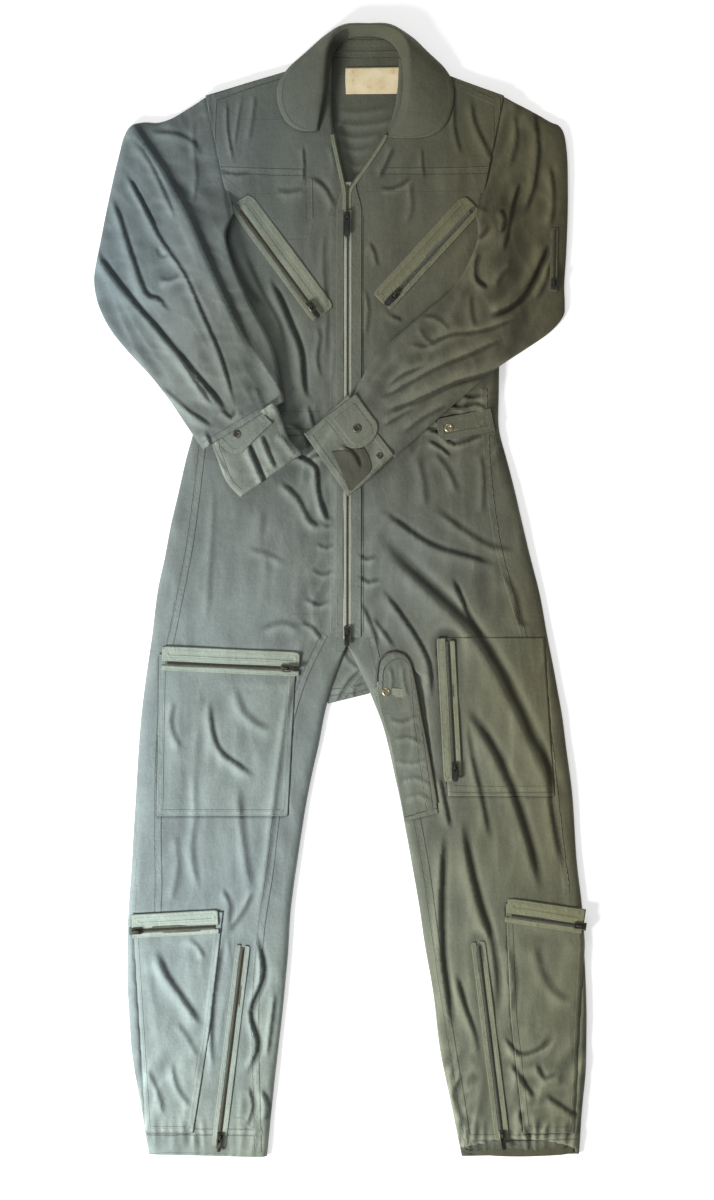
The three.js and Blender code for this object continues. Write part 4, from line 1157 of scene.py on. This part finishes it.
def cuffCloth(side):
    relief = sleeveMaps[side]
    relief *= 1 - 0.92 * np.clip(softened(insidePolygon(loopOf(f"cuff_tab_{side}")), 5) * 1.6, 0, 1)
    loop = loopOf(f"cuff_{side}")
    edgeA, edgeB = sleeveEdges[side]
    endMiddle = (edgeA[-1] + edgeB[-1]) / 2
    middle = loop.mean(0)
    along = (middle - endMiddle) / np.hypot(*(middle - endMiddle))
    reach = (loop - endMiddle) @ along
    near, far = loop[reach < reach.mean()], loop[reach > reach.mean()]
    outerNear, innerNear = nearestOf(near, edgeA[-1]), nearestOf(near, edgeB[-1])
    outerFar, innerFar = (nearestOf(far, corner + along * cuffLong) for corner in (outerNear, innerNear))
    pull = (innerNear - outerNear) / np.hypot(*(innerNear - outerNear))

    def side4(nearCorner, farCorner, past, pulls):
        spots = (nearCorner - along * 5, nearCorner + along * 22, nearCorner + along * 52, farCorner + along * past)
        return spread(smoothRun([spot + pull * by for spot, by in zip(spots, pulls)], 80), 44)

    floor = cuffFloor[side] + 0.2
    cuff = clothTube(
        f"cuff_cloth_{side}",
        side4(outerNear, outerFar, 3, (4, 1, -2, -3)),
        side4(innerNear, innerFar, -1, (7, 5, 1, 1)),
        lambda x, y: floor + 11.6 + 0.9 * lookUp(relief, x, y),
        floor,
        5.5,
        fadedPatch,
        mouth=12,
        inset=2.8,
        crestAndShade=crestOf(relief),
        lip=4.5,
    )
    sewn(cuff, f"sleeve_{side}", replaced=[f"cuff_{side}"])


for side in ("right", "left"):
    cuffCloth(side)

# A snap's cap, ring by ring from its rim: how far in, and how far up
snapRings = ((0.5, 0.45), (1.1, 0.5), (1.3, -0.15), (0.7, -0.75), (0.5, 0.1), (0.8, 0.25))
snapRadius, snapRise, snapFoot = 6.2, 1.7, 0.7


def breakEdges(piece, width, angle):
    bevel = piece.modifiers.new("edge", "BEVEL")
    bevel.width, bevel.segments, bevel.limit_method, bevel.angle_limit = width * mm, 2, "ANGLE", math.radians(angle)
    bpy.ops.object.modifier_apply(modifier="edge")


def snapFastener(name, spot, body, paint, slot, node=None, radius=snapRadius, rise=snapRise):
    at = place(spot) + np.array([0, 0, snapFoot / 2 * mm])
    bpy.ops.object.select_all(action="DESELECT")
    bpy.ops.mesh.primitive_cylinder_add(vertices=40, radius=radius * mm, depth=snapFoot * mm, location=at)
    cap = bpy.context.object
    cap.name = name
    bpy.ops.object.transform_apply(location=True)
    bpy.ops.object.mode_set(mode="EDIT")
    for inset, lift in snapRings:
        bpy.ops.mesh.select_all(action="DESELECT")
        bpy.ops.object.mode_set(mode="OBJECT")
        face = max(cap.data.polygons, key=lambda f: (round(f.normal.z, 2) > 0.9) * 1000 + len(f.vertices))
        for f in cap.data.polygons:
            f.select = f.index == face.index
        bpy.ops.object.mode_set(mode="EDIT")
        bpy.ops.mesh.inset(thickness=inset * radius / snapRadius * mm, depth=lift * rise / snapRise * mm)
    bpy.ops.object.mode_set(mode="OBJECT")
    breakEdges(cap, 0.16, 35)
    bpy.ops.object.shade_smooth()
    cap.data.materials.append(paint)
    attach(cap, body)
    if node:
        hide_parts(node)


def tabCloth(node, spec):
    s = np.linspace(-1.5, spec["long"], int(spec["long"] / 1.6))
    nose = np.clip((s - (spec["long"] - spec["nose"])) / spec["nose"], 0, 0.985)
    half = spec["broad"] * (spec["half"] - 0.4) * (1 - nose ** spec["power"]) ** (1 / spec["power"])
    half = half * (1 - 0.04 * np.sin(math.pi * np.clip(s / spec["long"], 0, 1)))
    line = spec["base"] + s[:, None] * spec["way"]
    out = half[:, None] * spec["out"]
    paint = paleTape if node == "knife_strap" else sagePatch if node == "waist_tab_left" else fadedPatch
    top = lambda x, y: spec["low"] + 1.75 + lookUp(tabWave, x, y)
    tab = clothTube(f"{node}_cloth", line - out, line + out, top, spec["low"] + 0.05, 1.3, paint, lip=0.5, step=1.7)
    sewn(tab, bodyOf(node), replaced=[node])
    low, high = (laidOut(corner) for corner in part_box(spec["snap"]))
    spot = [(low[0] + high[0]) / 2, (low[1] + high[1]) / 2, low[2] - 0.25]
    finish = (darkSnap, "dark_snap") if "cuff" in node else (brightSnap, "bright_snap")
    snapFastener(f"{spec['snap']}_cap", spot, bodyOf(node), *finish, spec["snap"])


tabWave = 0.28 * rumple(61, 12, 8, 30)
for node, spec in tabs.items():
    spec.update(tabFrame(node, spec["joint"]))
    tabCloth(node, spec)
bareStud = [45, -38, cuffFloor["left"] + 12.3]
snapFastener("cuff_stud_left", bareStud, "sleeve_left", darkSnap, "dark_snap", radius=4.6, rise=1.2)
print("cuffs, tabs and snaps made")


# Patch pockets: their folds, seams, how they roll under at each side, and how high they stand on the trunk
patchHigh = 1.45
pockets = {
    "thigh_pocket_right": {
        "folds": [
            (1.0, 12, 8, 0.6, 5, [(-232, -340), (-236, -420), (-228, -520)]),
            (0.8, 10, 8, 0.8, 5, [(-204, -346), (-208, -420), (-214, -500)]),
        ],
    },
    "thigh_pocket_left": {"seams": [[(144, -506), (210, -507), (288, -506)]], "rolls": (3.0, 3.0), "high": 0.75},
    "calf_pocket_right": {
        "folds": [(1.0, 10, 8, 0.8, 5, [(-282, -720), (-270, -800), (-262, -860)])],
        "rolls": (11.0, 0.8),
    },
    "calf_pocket_left": {"rolls": (0.8, 11.0)},
    "knife_pocket": {
        "folds": [
            (1.6, 7, 4, 1.8, 3, [(58, -404), (80, -408), (104, -398)]),
            (1.6, 6, 4, 1.8, 3, [(66, -434), (86, -430), (108, -440)]),
            (1.4, 6, 4, 1.4, 3, [(66, -462), (92, -466), (116, -460)]),
            (1.4, 6, 4, 1.6, 3, [(74, -492), (96, -486), (120, -498)]),
            (1.4, 6, 4, 1.4, 3, [(80, -516), (102, -510), (122, -522)]),
            (1.4, 5, 4, 1.6, 3, [(60, -330), (64, -350), (60, -372)]),
            (1.4, 5, 4, 1.6, 3, [(78, -326), (80, -350), (86, -376)]),
        ],
        "seams": [
            [(88, -330), (92, -372), (96, -420), (104, -478), (112, -536)],
            [(128, -528), (104, -534), (78, -541)],
            [(50, -372), (52, -336), (66, -321), (82, -322), (93, -342), (98, -372)],
        ],
    },
}
knifeEdges = (
    [(64, -311), (54, -314), (45, -324), (42, -342), (42, -372), (50, -405), (60, -440), (70, -494), (80, -547)],
    [(68, -311), (79, -315), (87, -325), (92, -342), (98, -372), (104, -405), (111, -440), (120, -490), (128, -535)],
)


def patchEdges(node):
    loop = loopOf(node)
    corner = lambda a, b: loop[(loop @ (a, b)).argmax()]
    topLeft, topRight, lowLeft, lowRight = corner(-1, 1.2), corner(1, 1.2), corner(-1, -1.2), corner(1, -1.2)
    count = int(np.hypot(*(topLeft - lowLeft)) / 2.3)
    edges = []
    for end, (top, low) in enumerate(((topLeft, lowLeft), (topRight, lowRight))):
        ys = np.linspace(top[1] - 0.3, low[1] + 0.3, count)
        edges.append(np.stack([eased(spans([node], ys)[end], 3), ys], axis=1))
    return edges


for node, spec in pockets.items():
    local = np.zeros(gridX.shape)
    addFolds(local, spec.get("folds", []))
    height = trunkMap + local + 0.2 * rumple(71, 14, 6, 80)
    if node == "knife_pocket":
        edges = [spread(smoothRun(line, 240), 112) for line in knifeEdges]
    else:
        edges = patchEdges(node)
    pocket = clothTube(
        f"{node}_cloth",
        *edges,
        lambda x, y: lookUp(height, x, y) + spec.get("high", patchHigh),
        1.4,
        spec.get("rolls", 0.8),
        sagePatch,
        crestAndShade=crestOf(height) + 0.15,
        seams=spec.get("seams"),
        lip=0.6,
    )
    side = "right" if "right" in node else "left"
    sewn(pocket, "garment", replaced=[node])
print("pockets made")

# The knife pocket's binding, and the inner layers that show at the left wrist and the left hem, all in the darker cloth
# that is painted shade
bindingWide = 3.8
bound = evenRun([(42, -352), *knifeEdges[0][3::-1], *knifeEdges[1][:-1], (125, -522)], 2.0)
aside = leftOf(waysOf(bound)) * bindingWide / 2
sewn(
    clothTube(
        "knife_binding",
        bound - aside,
        bound + aside,
        lambda x, y: lookUp(trunkMap, x, y) + 2.9,
        lambda x, y: lookUp(trunkMap, x, y) + 0.9,
        bindingWide / 2,
        shadedInsideCloth,
        step=0.7,
    ),
    "garment",
)


def innerLayer(name, topLine, lowLine, base, body):
    edges = [spread(smoothRun(line, 120), 40) for line in (topLine, lowLine)]
    unstitched = [[(0, 900), (9, 900)]]
    heights = (lambda x, y: base(x, y) + 0.9, lambda x, y: base(x, y) - 0.3)
    sewn(clothTube(name, *edges, *heights, 0.6, shadedInsideCloth, step=1.6, seams=unstitched), body)


innerLayer(
    "hem_inside_left",
    [(161, -1004), (178, -1000), (206, -995), (240, -992), (276, -994), (304, -999), (318, -1005)],
    [(161, -1007), (178, -1012), (206, -1015), (240, -1016), (276, -1015), (304, -1013), (318, -1009)],
    field(5.9),
    "garment",
)
innerLayer(
    "cuff_inside_left",
    [(-22, -32), (-13, -50), (-5, -68), (2, -86)],
    [(24, -27), (32, -43), (32, -60), (6, -87)],
    lambda x, y: cuffFloor["left"] + 11.9 + 0.9 * lookUp(sleeveMaps["left"], x, y),
    "sleeve_left",
)

# Zips: facings, tape and teeth
zipMaking = {
    "toothGap": 1.75,
    "toothAcross": 1.9,
    "toothAlong": 0.95,
    "toothHigh": 1.5,
    "toothAside": 0.45,  # each row from the zip's line
    "tapeHalf": 5.6,
    "partsBelow": 17.0,  # the main zip's tape ends this far short, where the neck opens
    "facingFrom": 2.5,
    "facingRise": 1.25,
    "sliderHalf": 5.0,
    "sliderClear": 0.85,  # facings stay this low under the slider's track
}


def zipPoint(z, s, a):
    return z["start"] + z["way"] * s + z["out"] * a


def toothShape():
    bpy.ops.object.select_all(action="DESELECT")
    bpy.ops.mesh.primitive_cube_add(size=1.0)
    tooth = bpy.context.object
    bpy.ops.object.mode_set(mode="EDIT")
    bpy.ops.transform.resize(value=(zipMaking["toothAlong"], zipMaking["toothAcross"], zipMaking["toothHigh"]))
    bpy.ops.mesh.bevel(offset=0.22, segments=1)
    bpy.ops.object.mode_set(mode="OBJECT")
    points = np.array([v.co for v in tooth.data.vertices])
    faces = [list(f.vertices) for f in tooth.data.polygons]
    bpy.data.objects.remove(tooth)
    return points, faces


toothPoints, toothFaces = toothShape()


def teethAlong(name, spots, ways, low, body, node=None):
    level = np.full((len(spots), 1), low + 0.45 + zipMaking["toothHigh"] / 2)
    none = np.zeros((len(spots), 1))
    points = (
        np.concatenate([spots, level], axis=1)[:, None, :]
        + toothPoints[None, :, :1] * np.concatenate([ways, none], axis=1)[:, None, :]
        + toothPoints[None, :, 1:2] * np.concatenate([leftOf(ways), none], axis=1)[:, None, :]
        + toothPoints[None, :, 2:] * np.array([0, 0, 1.0])
    )
    faces = [[i + k * len(toothPoints) for i in face] for k in range(len(spots)) for face in toothFaces]
    mesh = bpy.data.meshes.new(name)
    mesh.from_pydata(place(points.reshape(-1, 3)).tolist(), [], faces)
    mesh.materials.append(darkMetal)
    teeth = bpy.data.objects.new(name, mesh)
    bpy.context.scene.collection.objects.link(teeth)
    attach(teeth, body)
    if node:
        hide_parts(node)


def zipFacing(node, z, long, sign, far):
    plain = node == "main_zip"
    overPatch = z["low"] > 12.8
    over = 1.0 if plain else 13.0 if far > 14 or abs(z["to"] - z["from"]) > 30 else 6.0
    before = over * (0.6 if overPatch else 1.0)
    after = -2.0 if "calf" in node else over * 0.8
    stretch = np.linspace(-before, long + after, int(long / 2.2))
    near = zipMaking["facingFrom"] + 0.25 * np.sin(stretch / 17.0)
    past = np.maximum(-stretch, stretch - long)
    near = near + 2.0 if plain else near - np.clip((past - 8) / 4, 0, 1) * 2.3
    outer = far * (1 - 0.22 * np.clip(past / over, 0, 1) ** 2)
    if plain:
        outer = outer - 8 * smoothStep((stretch - long + 40) / 40)
    edges = [np.array([zipPoint(z, s, sign * a) for s, a in zip(stretch, row)]) for row in (near, outer)]
    grain = math.degrees(math.atan2(z["way"][1], z["way"][0]))
    base = trunkMap + 0.25 * rumple(81, 18, 6, grain) + (patchHigh if overPatch else 0.0)

    def under(x, y):
        aside = np.abs((x - z["start"][0]) * z["out"][0] + (y - z["start"][1]) * z["out"][1])
        return z["low"] + zipMaking["sliderClear"] + 0.9 * np.maximum(aside - zipMaking["sliderHalf"], 0)

    facing = clothTube(
        f"{node}_facing_{'upper' if sign > 0 else 'lower'}",
        *edges,
        lambda x, y: np.minimum(lookUp(base, x, y) + zipMaking["facingRise"], under(x, y)),
        lambda x, y: np.minimum(lookUp(base, x, y) - 0.6, under(x, y) - 0.9),
        1.1,
        sagePatch if plain else fadedPatch if "ankle" in node else paleTape,
        step=2.2,
    )
    sewn(facing, bodyOf(node))


for node, z in zips.items():
    body = bodyOf(node)
    long = z["long"] - (zipMaking["partsBelow"] if node == "main_zip" else 0.0)
    stretch = np.linspace(-2.0, long + 2.0, max(8, int(long / 2.3)))
    half = min(zipMaking["tapeHalf"], abs(z["from"]) + 0.2, z["to"] + 0.2)
    tapeEdges = [np.array([zipPoint(z, s, a) for s in stretch]) for a in (-half, half)]
    tapePaint = mainTape if node == "main_zip" else zipTape if body == "garment" else sagePatch
    tape = clothTube(f"{node}_tape", *tapeEdges, z["low"] + 0.6, z["low"] - 0.5, 0.5, tapePaint, step=2.0)
    sewn(tape, body)
    gap, aside = zipMaking["toothGap"], zipMaking["toothAside"]
    s = (np.arange(int(long / gap)) + 0.5) * gap
    spots = [zipPoint(z, v, aside) for v in s] + [zipPoint(z, v + gap / 2, -aside) for v in s[:-1]]
    ways = np.repeat(z["way"][None], len(spots), 0)
    teethAlong(f"{node}_teeth", np.array(spots), ways, z["low"], body, node)
    if body == "garment":
        for sign, far in ((1, z["to"]), (-1, -z["from"])):
            zipFacing(node, z, long, sign, max(far, 10.5))
print("zips made")


# The open neck: tape and teeth up both edges, above the upper slider
def neckEdge(side):
    ys = np.arange(413.0, 306.0, -1.5)
    low, high = spans([f"torso_front_{side}"], np.maximum(ys, 320.0))
    x = high if side == "right" else low
    x = np.where(ys < 336, x * smoothStep((ys - 300) / 40) * 0.9, x)
    return np.stack([eased(x, 5), ys], axis=1)


for side, sign in (("right", -1), ("left", 1)):
    line = neckEdge(side)
    out = leftOf(waysOf(line)) * sign
    edges = (line + out * 0.3, line + out * 6.5)
    strip = clothTube(f"neck_tape_{side}", *edges[::sign], 12.9, 11.2, 0.9, paleTape, step=2.0)
    sewn(strip, "garment")
    edge = spread(line, int(lengthOf(line) / 1.9))
    ways = waysOf(edge)
    teethAlong(f"neck_teeth_{side}", edge - leftOf(ways) * sign * 0.2, ways, 11.6, "garment")


# Sliders and pulls: the frame's own shapes with their edges broken
def finerCopy(node, paint, slot):
    mesh = frame["nodes"][node].data.copy()
    piece = bpy.data.objects.new(f"{node}_worn", mesh)
    bpy.context.scene.collection.objects.link(piece)
    mesh.materials.clear()
    bm = bmesh.new()
    bm.from_mesh(mesh)
    bmesh.ops.remove_doubles(bm, verts=bm.verts, dist=0.00002)
    bmesh.ops.dissolve_limit(bm, angle_limit=math.radians(3), verts=bm.verts, edges=bm.edges)
    bmesh.ops.recalc_face_normals(bm, faces=bm.faces)
    bm.to_mesh(mesh)
    bm.free()
    bpy.ops.object.select_all(action="DESELECT")
    bpy.context.view_layer.objects.active = piece
    piece.select_set(True)
    breakEdges(piece, 0.28, 28)
    bpy.ops.object.shade_smooth_by_angle(angle=math.radians(50))
    mesh.materials.append(paint)
    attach(piece, bodyOf(node))
    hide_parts(node)


leatherPulls = ("main_upper_pull", "chest_left_pull", "thigh_left_pull", "sleeve_pocket_slider")
for node in frame["nodes"]:
    if node.endswith(("_slider", "_pull")):
        finish = (blackLeather, "black_pull") if node in leatherPulls else (darkMetal, "dark_zip_metal")
        finerCopy(node, *finish)
print("sliders and pulls made")


# Label, sewn a little askew
labelLow, labelHigh = (laidOut(corner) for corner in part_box("neck_label"))
labelRows = 24
down = np.linspace(labelHigh[1], labelLow[1], labelRows)
slant = np.linspace(1.2, -0.6, labelRows)
label = clothTube(
    "label_cloth",
    np.stack([np.full(labelRows, labelLow[0]) + 0.5 * np.sin(down / 9), down - slant * 0.3], axis=1),
    np.stack([np.full(labelRows, labelHigh[0]) + slant * 0.4, down + 0.8], axis=1),
    lambda x, y: lookUp(backMap, x, y) + 1.5,
    lambda x, y: lookUp(backMap, x, y) - 0.2,
    0.7,
    cream,
    step=2.0,
)
sewn(label, "garment", replaced=["neck_label"])


# Collar: a stand round the neck that rolls over into the fall
collar = {
    "thick": 2.3,
    "seam": [(-40, 416, 11), (-38, 424, 11), (-35, 436, 10.5), (-31, 455, 10), (-27, 480, 9), (-24, 505, 7), (-18, 528, 5), (-4, 544, 3.5), (10, 550, 3), (26, 551, 3),
             (42, 550, 3), (58, 544, 3.5), (72, 528, 5), (77, 505, 7), (78, 480, 9), (76, 455, 10), (70, 436, 10.5), (63, 422, 11), (57, 408, 11)],
    "roll": [(-43, 418, 14.5), (-42, 424, 17), (-40, 434, 20), (-37, 450, 23), (-33, 474, 26), (-31, 504, 27.5), (-27, 533, 27), (-17, 552, 25), (0, 561, 22), (28, 563, 21),
             (54, 561, 22), (74, 552, 25), (84, 533, 27), (86, 504, 27.5), (86, 474, 26), (83, 450, 23), (76, 434, 20), (67, 420, 17), (60, 409, 14.5)],
    "edge": [(-47, 417, 13), (-66, 417, 13), (-86, 430, 13), (-97, 456, 12.8), (-96, 482, 12.5), (-82, 504, 11.5), (-58, 526, 10), (-32, 549, 7), (-5, 566, 4), (30, 568, 3),
             (62, 566, 4), (92, 547, 7), (114, 526, 10), (138, 502, 11.5), (149, 478, 12.5), (148, 450, 12.8), (137, 424, 13), (112, 408, 13), (66, 407, 13)],
}
stations = 190
seamRow, rollRow, edgeRow = (smoothRun(collar[key], stations) for key in ("seam", "roll", "edge"))
up = np.linspace(0, 1, 9)[None, :, None]
down = np.linspace(0, 1, 24)[None, 1:, None]
stand = seamRow[:, None] * (1 - up) + rollRow[:, None] * up
fall = rollRow[:, None] * (1 - down) + edgeRow[:, None] * down
fall[..., 2] += 2.6 * np.sin(math.pi * down[..., 0]) * (np.linalg.norm(edgeRow - rollRow, axis=1) / 60)[:, None]
middle = np.concatenate([stand, fall], axis=1)
for smoothing in range(3):
    middle[:, 1:-1] = (middle[:, :-2] + 2 * middle[:, 1:-1] + middle[:, 2:]) / 4
middle[..., 2] += 0.35 * lookUp(rumple(91, 16, 10, 60), middle[..., 0], middle[..., 1])
normal = np.cross(np.gradient(middle, axis=1), np.gradient(middle, axis=0))
normal /= np.maximum(np.linalg.norm(normal, axis=2), 1e-9)[..., None]
if normal[stations // 8, -6, 2] < 0:
    normal = -normal
thinning = np.minimum(np.arange(middle.shape[1])[::-1], 2.0) / 2.0 * 0.75 + 0.25  # towards the fall's edge
half = normal * collar["thick"] / 2 * thinning[None, :, None]
rings = np.concatenate([middle + half, (middle - half)[:, ::-1]], axis=1)
reach = np.linalg.norm(edgeRow[:, None] - rings, axis=2)
runs = runOf(edgeRow)[:, None] * np.ones((1, rings.shape[1]))
# Painted shadow: the stand's inside on the wearer's right is dark, as if shaded by the roll; the rest is a touch paler
standing = (np.arange(rings.shape[1]) < 7)[None] & (rings[..., 0] < 2)
wearAndShade = np.where(standing, -1.6, 0.1)
collarCloth = meshFrom("collar_cloth", rings, {"crestAndShade": wearAndShade, "seamDistance": reach, "seamRun": runs}, sagePatch)
girths = np.linalg.norm(np.diff(middle, axis=1), axis=2).sum(1)
steps = np.linalg.norm(np.diff(middle.mean(1), axis=0), axis=1)
collarCloth["clothArea"] = float(((girths[1:] + girths[:-1]) / 2 * steps).sum() * mm * mm)
collarCloth["clothLong"] = float(lengthOf(edgeRow) * mm)
collarCloth["clothWide"] = float(girths.max() * mm)
sewn(collarCloth, "garment", replaced=["collar"])
print("label and collar made")

# Floor and lights
bpy.ops.mesh.primitive_plane_add(size=8, location=(midX, 0, -0.0006))
floorPlane = bpy.context.object
floorPlane.name = "floor"
floorPaint = Paint("paleFloor", 0.9, Base_Color=(0.93, 0.93, 0.93, 1), Emission_Color=(1, 1, 1, 1), Emission_Strength=0.45)
floorPlane.data.materials.append(floorPaint.material)
floorPlane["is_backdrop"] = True


def softLight(name, at, size, power):
    lamp = bpy.data.lights.new(name, "AREA")
    lamp.shape, lamp.size, lamp.energy = "DISK", size, power
    lampObject = bpy.data.objects.new(name, lamp)
    bpy.context.scene.collection.objects.link(lampObject)
    lampObject.location = at
    lampObject.rotation_euler = (-Vector(at)).to_track_quat("-Z", "Y").to_euler()


softLight("window", (-1.6, -1.3, 1.2), 0.7, 84)
softLight("skylight", (-0.9, 2.2, 2.3), 1.5, 20)
world = bpy.data.worlds.new("studio")
world.use_nodes = True
background = world.node_tree.nodes["Background"]
background.inputs["Color"].default_value = (1.0, 1.0, 1.0, 1)
background.inputs["Strength"].default_value = 0.28
bpy.context.scene.world = world
bpy.context.scene.view_settings.view_transform = "Standard"
print("floor and lights set")

{"cad": cadBox, "visual": [list(corner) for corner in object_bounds()]}
